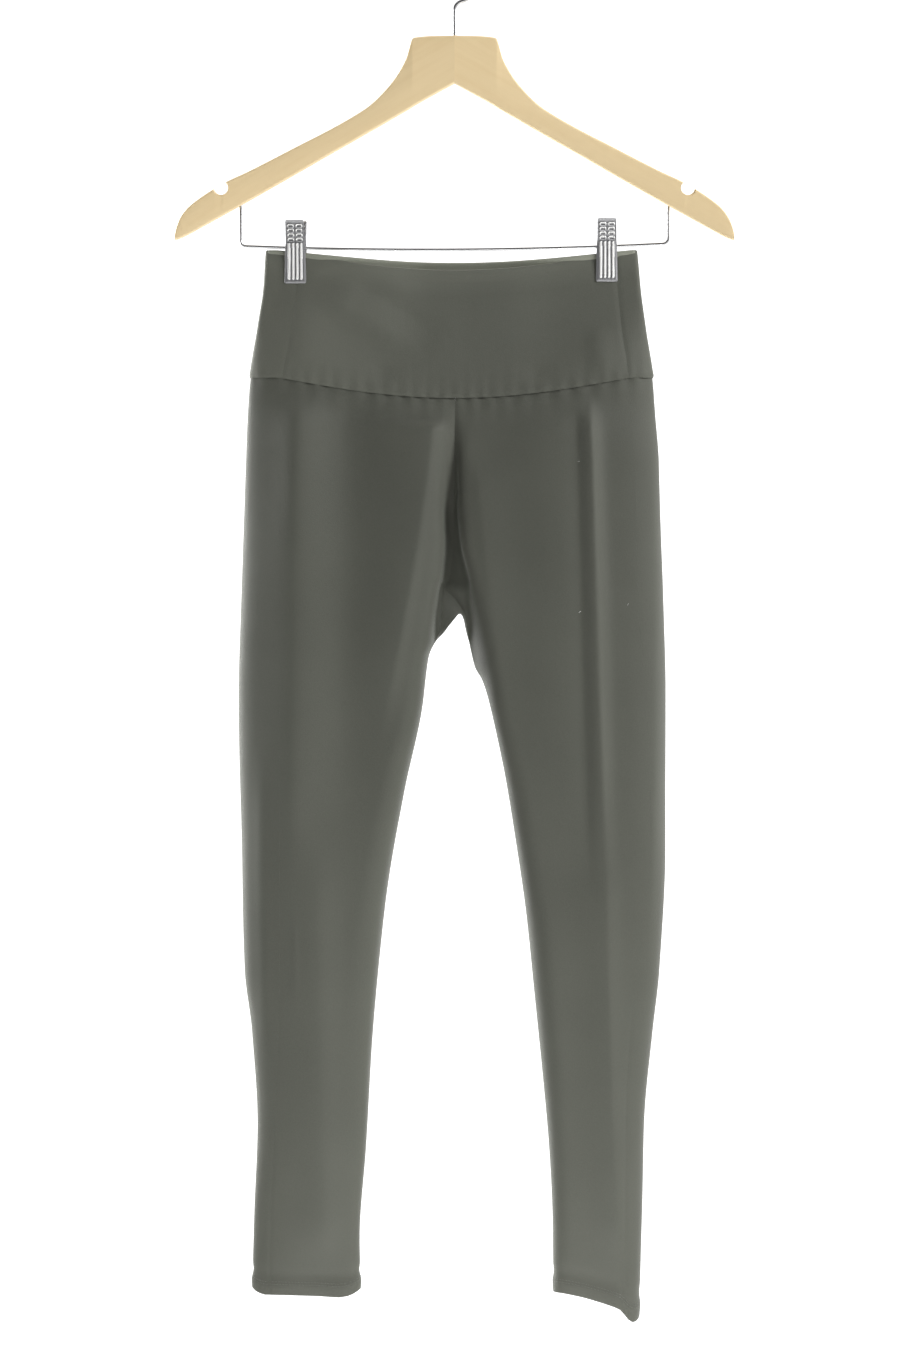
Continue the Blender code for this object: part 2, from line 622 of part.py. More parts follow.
def build_arm(side, parent):
    """One hanger arm: a loft of upright rounded sections, with a notch and bores."""
    sign = SIDES[side]
    bm = bmesh.new()
    loops = []
    for station in ARM:
        share = station.x / ARM_SPAN
        half = (HEAD_THICKNESS + (TIP_THICKNESS - HEAD_THICKNESS) * share) / 2
        loops.append([
            bm.verts.new((sign * station.x * MM, (arm_y(station.x) + y) * MM, z * MM))
            for y, z in rounded_section(half, station.top, station.bottom)
        ])
    around = len(loops[0])
    for near, far in zip(loops, loops[1:]):
        for k in range(around):
            bm.faces.new((near[k], near[(k + 1) % around], far[(k + 1) % around], far[k]))
    bm.faces.new(loops[0])
    bm.faces.new(loops[-1])
    bmesh.ops.recalc_face_normals(bm, faces=bm.faces)
    mesh = bpy.data.meshes.new(f"hanger_arm_{side}")
    bm.to_mesh(mesh)
    bm.free()
    mesh.shade_smooth()
    obj = new_object(f"hanger_arm_{side}", mesh, "hanger_wood", parent)
    notch = add_cutter(f"notch_{side}", NOTCH_RADIUS, NOTCH_LENGTH, NOTCH_SIDES)
    notch.location = (sign * NOTCH_X * MM, arm_y(NOTCH_X) * MM, NOTCH_Z * MM)
    notch.rotation_euler = (math.pi / 2, 0, 0)
    bore = add_cutter(f"bar_bore_{side}", BAR_WIRE + BORE_CLEARANCE, BAR_BORE_LENGTH, BORE_SIDES)
    bore.location = (sign * BAR_HALF * MM, bar_y() * MM, (BAR_TOP - BAR_BORE_DROP) * MM)
    stem_length = 2 * (HOOK_STEM_DEPTH + END_PLAY)
    stem = add_cutter(f"stem_bore_{side}", HOOK_WIRE + BORE_CLEARANCE, stem_length, BORE_SIDES)
    stem.location = (0, 0, HEAD_TOP)
    for cutter in (notch, bore, stem):
        cut = obj.modifiers.new(cutter.name, "BOOLEAN")
        cut.operation = "DIFFERENCE"
        cut.object = cutter
        cut.solver = "EXACT"


def add_cutter(name, radius, length, sides):
    """An upright cylinder that a boolean takes away."""
    bm = bmesh.new()
    bmesh.ops.create_cone(bm, cap_ends=True, segments=sides,
                          radius1=radius, radius2=radius, depth=length)
    mesh = bpy.data.meshes.new(name)
    bm.to_mesh(mesh)
    bm.free()
    obj = bpy.data.objects.new(name, mesh)
    obj.hide_render = True
    obj.display_type = "WIRE"
    CUTTERS.objects.link(obj)
    return obj


def add_wire(name, points, radius, parent):
    """A round wire along points given in metres."""
    curve = bpy.data.curves.new(name, "CURVE")
    curve.dimensions = "3D"
    curve.bevel_depth = radius
    curve.bevel_resolution = WIRE_RESOLUTION
    curve.use_fill_caps = True
    spline = curve.splines.new("POLY")
    spline.points.add(len(points) - 1)
    for target, point in zip(spline.points, points):
        target.co = (*point, 1)
    curve.materials.append(MATERIALS["chrome"])
    obj = bpy.data.objects.new(name, curve)
    obj.parent = parent
    COLLECTION.objects.link(obj)


def hook_points():
    """The hook's middle line: up the stem, out through the neck and round over the crown."""
    reach = HOOK_RADIUS + HOOK_NECK_RADIUS
    turn = math.acos(HOOK_NECK_RADIUS / reach)
    centre_z = -(HOOK_RADIUS - HOOK_WIRE)
    neck_z = centre_z - reach * math.sin(turn)
    points = [(0, 0, HEAD_TOP - HOOK_STEM_DEPTH + END_PLAY), (0, 0, (HEAD_TOP + neck_z) / 2)]
    for a in np.linspace(0, turn, NECK_POINTS)[:-1]:
        x = HOOK_NECK_RADIUS * (1 - math.cos(a))
        points.append((x, 0, neck_z + HOOK_NECK_RADIUS * math.sin(a)))
    for a in np.linspace(-turn, HOOK_SWEEP, CROWN_POINTS):
        points.append((HOOK_RADIUS * math.cos(a), 0, centre_z + HOOK_RADIUS * math.sin(a)))
    return points


def bar_z(x):
    """Height of the bar, which sags a little between its bends and hangs a little askew."""
    return BAR_MID_Z + (BAR_END_Z - BAR_MID_Z) * (x / BAR_HALF)**2 + BAR_TILT * x / BAR_HALF


def bar_points():
    """The bar's middle line: down from one arm, along, and up into the other."""
    straight = BAR_HALF - BAR_BEND
    halves = []
    for sign in (-1, 1):
        half = [(sign * x, bar_z(sign * x)) for x in np.linspace(0, straight, BAR_POINTS)]
        corner_z = bar_z(sign * straight) + BAR_BEND
        for a in np.linspace(0, math.pi / 2, BEND_POINTS)[1:]:
            half.append((sign * (straight + BAR_BEND * math.sin(a)), corner_z - BAR_BEND * math.cos(a)))
        half.append((sign * BAR_HALF, BAR_TOP))
        halves.append(half)
    both = halves[0][::-1] + halves[1][1:]
    return [(x * MM, bar_y() * MM, z * MM) for x, z in both]


def build_clip(side, parent):
    """Two ribbed plates either side of the bar and the sprung strip that closes them."""
    holder = bpy.data.objects.new(f"clip_{side}", None)
    holder.location = (CLIP_X[side] * MM, bar_y() * MM, (bar_z(CLIP_X[side]) + CLIP_LIFT[side]) * MM)
    holder.rotation_euler = (0, 0, CLIP_TURN[side])
    holder.parent = parent
    COLLECTION.objects.link(holder)
    columns = RIBS * RIB_STEPS + 1
    for face, way in (("front", -1), ("back", 1)):
        rows = []
        for rung in PLATE_ROWS:
            row = []
            for k in range(columns):
                share = 2 * k / (columns - 1) - 1
                wave = 0.5 - 0.5 * math.cos(2 * math.pi * RIBS * (share + 1) / 2)
                y = way * (rung.y + RIB_HEIGHT * rung.rib * wave)
                row.append((share * rung.half, y, rung.z))
            rows.append(row)
        obj = add_grid(f"clip_plate_{face}_{side}", rows, "chrome", holder, face == "front")
        thicken(obj, PLATE)
    loop = SPRING_STRIP + [(-y, z) for y, z in SPRING_STRIP[::-1][1:]]
    rows = [[(x, y, z - CLIP_LIFT[side]) for x in (-SPRING_HALF, SPRING_HALF)] for y, z in loop]
    thicken(add_grid(f"clip_spring_{side}", rows, "chrome", holder, True), SPRING)


def build_hanger():
    """The wooden arms, the hook, the bar and its two clips."""
    parent = bpy.data.objects.new("hanger", None)
    COLLECTION.objects.link(parent)
    for side in SIDES:
        build_arm(side, parent)
    add_wire("hanger_hook", hook_points(), HOOK_WIRE, parent)
    add_wire("hanger_bar", bar_points(), BAR_WIRE, parent)
    for side in SIDES:
        build_clip(side, parent)


def add_material(name, finish):
    material = bpy.data.materials.new(name)
    material.use_nodes = True
    shader = material.node_tree.nodes["Principled BSDF"]
    shader.inputs["Base Color"].default_value = (*finish.colour, 1)
    shader.inputs["Roughness"].default_value = finish.roughness
    shader.inputs["Metallic"].default_value = finish.metallic
    material.diffuse_color = (*finish.colour, 1)
    return material


def add_collection(name):
    collection = bpy.data.collections.new(name)
    bpy.context.scene.collection.children.link(collection)
    return collection


for old in list(bpy.data.objects):
    bpy.data.objects.remove(old, do_unlink=True)

COLLECTION = add_collection("leggings_on_hanger")
CUTTERS = add_collection("cutters")
MATERIALS = {name: add_material(name, finish) for name, finish in FINISHES.items()}
build_garment()
build_hanger()
bpy.context.view_layer.update()
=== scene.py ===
"""Looks of high-waisted jogging leggings on a clip hanger: stretch cloth, chrome and pale wood.

Tables are in millimetres, and MM turns them into metres. The cloth's sections are those of
the part's own solids, so each shell lies on its solid, and the creases, seams, stitches,
embossing and grain are added here. +Z is up, the front faces -Y, the wearer's right is -X.
"""

import math
from collections import namedtuple

import bmesh
import bpy
import numpy as np
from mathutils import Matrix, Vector


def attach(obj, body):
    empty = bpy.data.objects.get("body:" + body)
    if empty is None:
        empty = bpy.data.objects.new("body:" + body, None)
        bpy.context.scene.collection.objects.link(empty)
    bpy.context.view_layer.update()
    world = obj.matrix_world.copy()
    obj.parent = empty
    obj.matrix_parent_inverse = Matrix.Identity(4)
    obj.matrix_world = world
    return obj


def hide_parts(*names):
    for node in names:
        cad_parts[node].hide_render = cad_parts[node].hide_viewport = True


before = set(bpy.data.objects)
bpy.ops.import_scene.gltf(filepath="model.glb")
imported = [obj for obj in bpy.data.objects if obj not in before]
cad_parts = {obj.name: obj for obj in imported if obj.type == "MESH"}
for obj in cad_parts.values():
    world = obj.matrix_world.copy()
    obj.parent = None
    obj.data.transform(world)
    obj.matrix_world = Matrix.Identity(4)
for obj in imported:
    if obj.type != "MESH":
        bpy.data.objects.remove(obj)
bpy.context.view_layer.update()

MM = 0.001
SIDES = {"r": -1, "l": 1}
FACES = {"front": -1, "back": 1}


def table(kind, *rows):
    """A table whose rows are named tuples of one kind."""
    return [kind(*row) for row in rows]


def mirrored(rows):
    """Inner rows for the wearer's right from those for the left; the seam stays put."""
    return [row._replace(crest_x=-row.crest_x, fold_x=-row.fold_x, wall_x=-row.wall_x)
            for row in rows]


# ---------------------------------------------------------------- sizes

BAR_Y = -20.0 * (169.8 / 222.0) ** 2
BAND_TOP = -239.6
BAND_SEAM = -340.0
HEM_DEPTH = 12.0
RISE_END = -506.0
GUSSET_END = -549.0
PINCHED_HALF = 2.1
CLIP_X = {"r": -126.0, "l": 121.0}
CLIP_LIFT = {"r": 1.0, "l": 1.2}
CLIP_TURN = {"r": math.radians(-8), "l": 0.0}
CLIP_FLAT_HALF = 15.0
PINCH_INNER = 105.0
PINCH_OUTER = 55.0
PINCH_BOTTOM = -269.0
PINCH_END = -325.0
SAG_END = -470.0
SAG_HALF_WIDTH = 142.0
SAG_SHAPE = 1.2
FRONT_SAG = (16.0, 16.3)
BACK_SAG = (9.6, 9.0)
TILT_CURVE = 1.6
ROUNDING = 2.5
MIDDLE_SHARE = 0.45
MIDDLE_REACH = 0.4
# Points along a face's path: its turn from the seam, its flat part and its outer rounding.
TURN_POINTS = 60
FLAT_POINTS = 30
ROUND_POINTS = 80

# Visible cloth
GRID = 2.0
SEAM_NEAR = 0.4
CLOTH = 0.6
FOLD_GAP = 1.6
FOLD_POINTS = 6
SEAM_DIP = 0.45
LEG_SEAM_DIP = 0.3
LEG_SEAM_SHOWS = -800.0
LEG_SEAM_FADE = 120.0
INSEAM_FADE = 14.0
RISE_WIDTH = 8.0
LEAST_FACING = 0.25
CREASE_POINTS = 28
TURN_OVER = 0.25
TURN_SHARE = 0.9
UNDER_BAND = 4.5
UNDER_BAND_DIP = 0.5
UNDER_BAND_REACH = 3.2
SEAM_DIP_WIDTH = 1.8
TUCK = 4.0
TUCK_DEPTH = 1.1
TUCK_FADE = 5.0
TUCK_START = 0.8
TUCK_EASE = 0.5
TUCK_EASE_FROM = -35.0
TUCK_EASE_WIDTH = 50.0
BAND_COUNT = {"front": 71, "back": 101}
BAND_FADE = 10.0
BAND_ROLL = 0.3
BAND_SEAM_DIP = 0.5
BAND_EDGE = 0.4
BAND_EDGE_WIDTH = 1.6
BAND_LEAN = 1.6
BAND_LEAN_REACH = 20.0
BAND_ROLL_WIDTH = 5.0
CLOTH_COLOUR = (0.085, 0.088, 0.072)
# The waistband's cloth is painted a tenth lighter than the legs': partly the look of its taut
# double cloth, partly painted light, as the lamps fall weaker on the band.
BAND_TONE = 1.10
# Painted light: how much lighter the waistband is painted towards the wearer's right side.
BAND_PAINTED_SIDE_LIGHT = 0.45
# Painted highlight along the waistband's top edge: how much lighter it is painted, and how far
# down, in metres, it fades out.
BAND_PAINTED_TOP_LIGHT = 0.55
TOP_LIGHT_FADE = 0.02
# Across the waistband, in metres: where that painted light is full, and where it has died out.
PAINTED_LIGHT_FROM = -0.11
PAINTED_LIGHT_TO = 0.03
# The waistband's inside is painted over three times lighter than its outside: partly a paler inner
# face, partly painted light in the shaded inside.
INSIDE_TONE = 3.3
WALE = 0.7 * MM
COURSE = 0.55 * MM
HEM_STITCHES = (9.0, 11.0)
HEM_LIFT_FADE = 45.0
HEM_DIP = 0.7
HEM_DIP_AT = 16.0
HEM_DIP_REACH = 5.0
HEM_ROLL = 0.5
HEM_ROLL_WIDTH = 4.8
GUSSET_COUNT = 22

# Unevenness: gentle drift all over, and puckers and gathers along seams. A pucker's fade is
# its reach from the seam, and the gather's is how slowly it comes and goes along it.
Drift = namedtuple("Drift", "seed length height")
DRIFT_WAVES = 6
DRIFT_SLANT = 0.45
DRIFT_SPREAD = (0.6, 1.7)
DRIFT_SCALE = 2.5
LEG_DRIFT = {"r": Drift(11, 95, 0.25), "l": Drift(12, 95, 0.25)}
BAND_DRIFT = Drift(5, 80, 0.18)
Pucker = namedtuple("Pucker", "height fade length bend width")
LEG_PUCKER = Pucker(0.4, 9, 13.7, 2, 29)
BAND_PUCKER = Pucker(0.34, 8, 11.3, 2, 23)
GATHER = Pucker(0.5, 37, 21, 1.5, 17)
# The dip above the hem: how uneven it is, and the scales of its two waves.
HEM_UNEVEN = (0.4, 9.0, 23.0)

# Uneven hem edges: share of the way from the inseam to the outside, and the lift there.
HEM_EDGE = {
    "r": [(0, 6.5), (0.03, 4.6), (0.07, 2.6), (0.12, 0.8), (0.2, -0.3), (0.4, 0.4), (0.7, 0.3),
          (0.88, -0.2), (0.93, 0.8), (0.97, 2.4), (1, 4.6)],
    "l": [(0, 0.2), (0.25, 0.6), (0.5, 1.6), (0.7, 3.0), (0.77, 3.2), (0.82, 1.4), (0.87, -1.2),
          (0.92, -1.6), (0.96, 0.4), (0.985, 3.0), (1, 5.5)],
}
STITCH_PITCH = 2.6 * MM
STITCH_LENGTH = 2.0 * MM
THREAD = 0.16 * MM
STITCH_RISE = (-0.2, 0.6, 1.0, 0.6, -0.2)
STITCH_RADII = (0.5, 0.9, 1.0, 0.9, 0.5)

# Lint: where it lies in the front view, its slant, length and thickness.
Fleck = namedtuple("Fleck", "side x z turn length radius")
LINT = table(Fleck,
    ("l", 98.6, -526.8, 0.7, 2.2, 0.16),
    ("l", 137.9, -520.4, 1.1, 1.6, 0.09),
    ("l", 98.2, -407.6, 0.1, 1.8, 0.08),
)
LINT_POINTS = 9
LINT_BOW = 0.35
LINT_RISE = 0.25

# Hanger
ARM_SPAN = 222.0
ARM_SWEEP = 20.0
ARM_SLOPE = math.radians(30)
HEAD_THICKNESS = 13.0
TIP_THICKNESS = 9.0
EDGE_RADIUS = 2.5
CORNER_STEPS = 6
CORNER_SHARE = 0.45
SHARP_ANGLE = math.radians(38)
WOOD_COLOUR = (0.84, 0.66, 0.39)
WOOD_TONE = {"r": 0.99, "l": 1.04}
NOTCH_X = 185.3
NOTCH_Z = -189.3
NOTCH_RADIUS = 5.4
NOTCH_FLARE = 1.2
NOTCH_STEPS = 6
NOTCH_SIDES = 48
HOOK_WIRE = 1.6
HOOK_RADIUS = 21.0
HOOK_NECK_RADIUS = 7.0
HOOK_STEM_DEPTH = 20.0
HOOK_SWEEP = math.radians(205)
HOOK_POINTS = (20, 100)
HEAD_TOP = -67.2
BAR_WIRE = 1.25
BAR_HALF = 169.8
BAR_BEND = 4.5
BAR_TOP = -198.0
BAR_END_Z = -234.2
BAR_MID_Z = -238.0
BAR_TILT = 1.0
BAR_POINTS = (24, 12)
CAP_POINTS = 7
CAP_LEAST = 0.02

Station = namedtuple("Station", "x top bottom")
ARM = table(Station,
    (0, -67.1, -105.4),
    (17, -67.4, -114.8),
    (31.5, -68.6, -123.0),
    (33.8, -69.8, -124.5),
    (35.6, -75.5, -125.6),
    (38.2, -84.5, -127.2),
    (42, -92.5, -129.4),
    (48, -102.0, -132.9),
    (57, -112.8, -138.2),
    (68, -123.2, -144.5),
    (82, -132.4, -152.6),
    (100, -142.6, -162.9),
    (125, -155.6, -177.5),
    (150, -168.8, -192.0),
    (166, -177.0, -201.2),
    (178, -182.6, -208.0),
    (192, -190.6, -216.0),
    (203, -198.0, -222.2),
    (212, -205.6, -227.2),
    (217.5, -213.0, -229.8),
    (220.6, -220.4, -230.8),
    (222, -226.4, -231.0),
)
ARM_STEPS = ((2, 30, 2), (30, 44, 0.8), (44, 204, 2.5), (204, 222.01, 0.75))

# Clips: side view of a plate, and what is pressed into it.
PLATE = 0.8
PLATE_TOP = 20.6
PLATE_END = -29.4
CORNER_ROUND = 1.2
PLATE_GRID = (150, 53)
FIELD_TOP = 3.6
TRAY_HEIGHT = 0.45
TRAY_EDGE = 0.3
TRAY_SLOPE = 1.3
RIM_LIFT = 0.25
RIM_EDGE = 0.5
RIM_WIDTH = 0.4
SCALE_ROWS = (16.2, 12.5, 8.8, 5.3)
SCALE_X = 3.4
SCALE_HALF_WIDTH = 2.3
SCALE_HALF_HEIGHT = 1.15
SCALE_LIFT = 0.55
SCALE_WIDTH = 0.42
# Painted highlight on each scale: its width about the scale's outline, and how far below the
# scale's middle it reaches.
SCALE_BRIGHT = 0.42
SCALE_OPEN = 0.3
RIBS = 4
RIB_PITCH = 3.24
RIB_HALF_WIDTH = 1.15
RIB_LIFT = 0.75
# Half width of the painted highlight along each rib's crest.
RIB_BRIGHT = 0.85
RIB_TOP = 1.9
RIB_END = -25.4
SPRING = 0.5
SPRING_HALF = 4.0
SPRING_GRID = (60, 5)
SPRING_EASINGS = 6
SPRING_STRIP = [(6.1, 17.0), (4.1, 8.0), (2.8, 1.5), (2.5, -1.2), (1.4, -2.4), (0, -2.8)]
Rung = namedtuple("Rung", "z y half")
PLATE_ROWS = table(Rung,
    (20.6, 8.4, 7.5),
    (18.8, 7.2, 7.5),
    (11.0, 5.4, 7.6),
    (3.5, 3.6, 7.7),
    (-0.5, 3.0, 8.0),
    (-12.0, 2.7, 8.3),
    (-29.4, 2.5, 8.7),
)

# Stage and camera
FLOOR_Z = -1.45
FLOOR_SIZE = 5.0
VIEW_X = -2.0
VIEW_Z = -578.4
VIEW_HEIGHT = 1077.5
VIEW_DISTANCE = 6000.0
SENSOR = 36.0
FRONT_LIGHT = 0.06
SIDE_LIGHT = 1.6
FRONT_FROM = -0.35
FRONT_TO = 0.15
Softbox = namedtuple("Softbox", "name azimuth elevation distance size energy height")
SOFTBOXES = table(Softbox,
    ("key", 56, 24, 2.6, 1.15, 62, -200),
    ("fill", -97, 5, 2.4, 1.4, 9.5, -500),
    ("rim", -126, 5, 2.0, 1.2, 29, -440),
    ("upper_rim", -103, 6, 0.9, 0.5, 4.0, -300),
    ("low", 8, -30, 0.62, 0.4, 3.5, -1070),
)

Outer = namedtuple("Outer", "z out_x out_y side_x front_y back_y tilt")
OUTER = {
    "r": table(Outer,
        (-239, -150.0, 0, -123.5, -5.5, 8.5, 0),
        (-266, -151.3, 0, -125.2, -6.5, 10.5, 0),
        (-302, -156.5, 0, -129.5, -9.5, 13, 0),
        (-340, -162.4, 0, -135.9, -16, 16, 0),
        (-421, -166.3, 0, -137.5, -23, 22, 0),
        (-516, -169.3, 1, -137.2, -28, 27, 0),
        (-588, -171.4, 1, -137.5, -28, 28, 0),
        (-715, -169.2, 2, -138.0, -26, 26, 0),
        (-810, -166.9, 2, -138.5, -23, 24, 0),
        (-858, -161.1, 2, -139.5, -21, 22, 0),
        (-930, -156.7, 1, -142.0, -18, 19, 0),
        (-1001, -159.1, 0, -145.5, -14, 13, -1),
        (-1069, -161.0, 0, -147.0, -11, 9, -2.6),
    ),
    "l": table(Outer,
        (-239, 145.4, 0, 127.5, -5.5, 8.5, 0),
        (-266, 147.2, 0, 129.5, -6.5, 10.5, 0),
        (-302, 151.7, 0, 133.0, -9.5, 13, 0),
        (-340, 157.6, 0, 138.2, -16, 16, 0),
        (-421, 161.5, 0, 141.5, -23, 22, 0),
        (-516, 165.0, 0, 143.5, -28, 27, 0),
        (-588, 167.6, 0, 149.0, -28, 28, 0),
        (-715, 167.2, 1, 153.5, -26, 27, 0),
        (-810, 162.7, 1, 146.5, -24, 25, 0),
        (-858, 157.4, 1, 139.0, -23, 24, 0),
        (-930, 151.0, 0, 135.5, -21, 22, 0),
        (-1001, 148.6, 0, 134.5, -19, 19, 8),
        (-1065, 146.8, 0, 133.0, -18, 17, 25),
    ),
}

Inner = namedtuple("Inner", "z crest_x crest_y fold_x wall_x wall_y seam_x seam_y")
# Both sides are alike in the waistband, and behind down to the hips.
FRONT_TOP = table(Inner,
    (-239, 40, -5.6, 24, 10, 0, 0.5, -5.6),
    (-302, 40, -9.6, 24, 10, 0, 0.5, -9.6),
    (-340, 26, -16.4, 14, 6, -0.2, 0.5, -16.4),
)
FRONT = {
    "r": mirrored(FRONT_TOP) + table(Inner,
        (-372, -16, -18.8, -8, -5.0, -1.5, 0.3, -15.0),
        (-421, -17, -22.8, -8, -8, -1, 0, -10.5),
        (-450, -18, -24.6, -6, -10, 0, -1.0, -5.5),
        (-470, -20, -26.0, -3, -10, 0, -1.0, -4.0),
        (-500, -24, -27.6, -4, -11, 2, -4.0, -5.0),
        (-506, -25, -27.8, -6, -9, 5, -7.5, -6.0),
        (-528, -29, -28.2, -9, -10, 5, -10.0, -2.0),
        (-541, -31, -28.2, -11, -8.5, 3, -11.5, 1.5),
        (-549, -32, -28.1, -13, -4, -3, -15.0, 3.0),
        (-556, -33.5, -28.1, -17, 0, -7, -19.0, 3.3),
        (-562, -35, -28.0, -20, 0, -8, -21.0, 3.6),
        (-600, -42, -27.0, -25, 0, -12, -25.4, 3.0),
        (-667, -60, -26.0, -39.8, 0, -13, -39.8, 3.0),
        (-763, -78, -24.0, -55.3, 0, -12, -55.3, 3.0),
        (-858, -88, -20.5, -64.4, 0, -11, -64.4, 2.0),
        (-953, -92, -16.5, -70.3, 0, -9, -70.3, 1.0),
        (-1025, -93, -12.5, -75.2, 0, -7, -75.2, 0.0),
        (-1069, -93, -11.0, -74.4, 0, -6, -74.4, 0.0),
    ),
    "l": FRONT_TOP + table(Inner,
        (-372, 14, -18.8, 5, 3.5, -1.5, 0.3, -15.0),
        (-421, 13, -23.0, -1, 6, -2, 0, -10.5),
        (-450, 14, -25.0, -3, 8, -1, -1.0, -5.5),
        (-470, 15, -26.2, -3, 12, 0, -1.0, -4.0),
        (-500, 21, -27.8, 3.5, 26, 2, -4.0, -5.0),
        (-506, 23, -28.0, 4, 31, 5, -7.5, -6.0),
        (-517, 25.5, -28.3, 8, 18, 5, 1.5, -4.0),
        (-528, 28, -28.4, 12, 10, 3, 8.0, -2.0),
        (-541, 32, -28.4, 15, 8.5, -1, 10.2, 1.5),
        (-549, 34, -28.3, 17, 7, -4, 11.6, 3.0),
        (-556, 35.5, -28.3, 19, 6.5, -5, 13.0, 3.3),
        (-570, 38, -28.2, 22.5, 4, -8, 16.3, 4.0),
        (-580, 40, -28.0, 25, 1.5, -10, 22.0, 3.6),
        (-600, 44, -27.6, 27.5, 0, -12, 28.2, 3.0),
        (-667, 60, -26.0, 42.2, 0, -13, 42.2, 3.0),
        (-763, 76, -24.5, 56.5, 0, -12, 56.5, 3.0),
        (-858, 86, -22.5, 66.4, 0, -11, 66.4, 2.0),
        (-953, 92, -20.0, 74.9, 0, -10, 74.9, 1.0),
        (-1025, 95, -18.5, 78.2, 0, -10, 78.2, 0.0),
        (-1065, 96, -18.0, 78.3, 0, -10, 78.3, 0.0),
    ),
}
BACK_TOP = table(Inner,
    (-239, 40, 8.8, 24, 10, 0, 0.5, 8.9),
    (-302, 40, 13.4, 24, 10, 0, 0.5, 13.6),
    (-340, 26, 16.4, 14, 6, 0.2, 0.5, 16.4),
    (-372, 20, 18.6, 9, 5, 1.0, 0.5, 17.0),
    (-421, 22, 22.4, 8, 5, 2.5, 0.6, 17.5),
)
BACK = {
    "r": mirrored(BACK_TOP) + table(Inner,
        (-450, -23, 24.4, -7, -5, 3.5, 0.8, 17.0),
        (-470, -24, 25.4, -7, -5, 4.5, 1.4, 16.0),
        (-500, -26, 27.0, -6, -6, 5, 3.0, 13.5),
        (-506, -26, 27.2, -3, -7, 5, 4.0, 12.0),
        (-528, -28, 27.4, -1, -2, 6, 0.0, 10.0),
        (-541, -31, 27.6, -8, 1, 6, -7.5, 7.5),
        (-549, -34, 27.7, -13, 1, 7, -15.0, 5.0),
        (-556, -36.5, 27.7, -17, 1, 7, -19.0, 4.6),
        (-562, -38, 27.8, -19, 1, 7, -21.0, 4.2),
        (-600, -46, 28.0, -25.4, 0, 12, -25.4, 3.0),
        (-667, -62, 27.0, -39.8, 0, 12, -39.8, 3.0),
        (-763, -78, 25.0, -55.3, 0, 12, -55.3, 3.0),
        (-858, -88, 21.5, -64.4, 0, 11, -64.4, 2.0),
        (-953, -92, 16.0, -70.3, 0, 8, -70.3, 1.0),
        (-1025, -93, 10.5, -75.2, 0, 6, -75.2, 0.0),
        (-1069, -93, 9.0, -74.4, 0, 5, -74.4, 0.0),
    ),
    "l": BACK_TOP + table(Inner,
        (-450, 24, 24.4, 8, 5, 3.5, 0.8, 17.0),
        (-470, 25, 25.4, 9, 5, 4.5, 1.4, 16.0),
        (-500, 28, 27.0, 11, 6, 5, 3.0, 13.5),
        (-506, 30, 27.2, 11, 6, 5, 4.0, 12.0),
        (-528, 31, 27.4, 8, 1, 6, 7.0, 10.0),
        (-541, 34, 27.6, 9, 0, 6, 9.5, 7.5),
        (-549, 36, 27.7, 11, 0, 7, 11.6, 5.0),
        (-556, 38, 27.7, 13, 0, 7, 13.0, 4.7),
        (-570, 42, 27.8, 19, 0, 7, 16.3, 4.6),
        (-580, 44.5, 27.9, 22, 0, 9, 22.0, 4.2),
        (-600, 48, 28.0, 28.2, 0, 12, 28.2, 3.0),
        (-667, 62, 27.0, 42.2, 0, 12, 42.2, 3.0),
        (-763, 76, 26.0, 56.5, 0, 12, 56.5, 3.0),
        (-858, 86, 23.5, 66.4, 0, 11, 66.4, 2.0),
        (-953, 92, 20.0, 74.9, 0, 10, 74.9, 1.0),
        (-1025, 95, 18.0, 78.2, 0, 9, 78.2, 0.0),
        (-1065, 96, 17.0, 78.3, 0, 9, 78.3, 0.0),
    ),
}

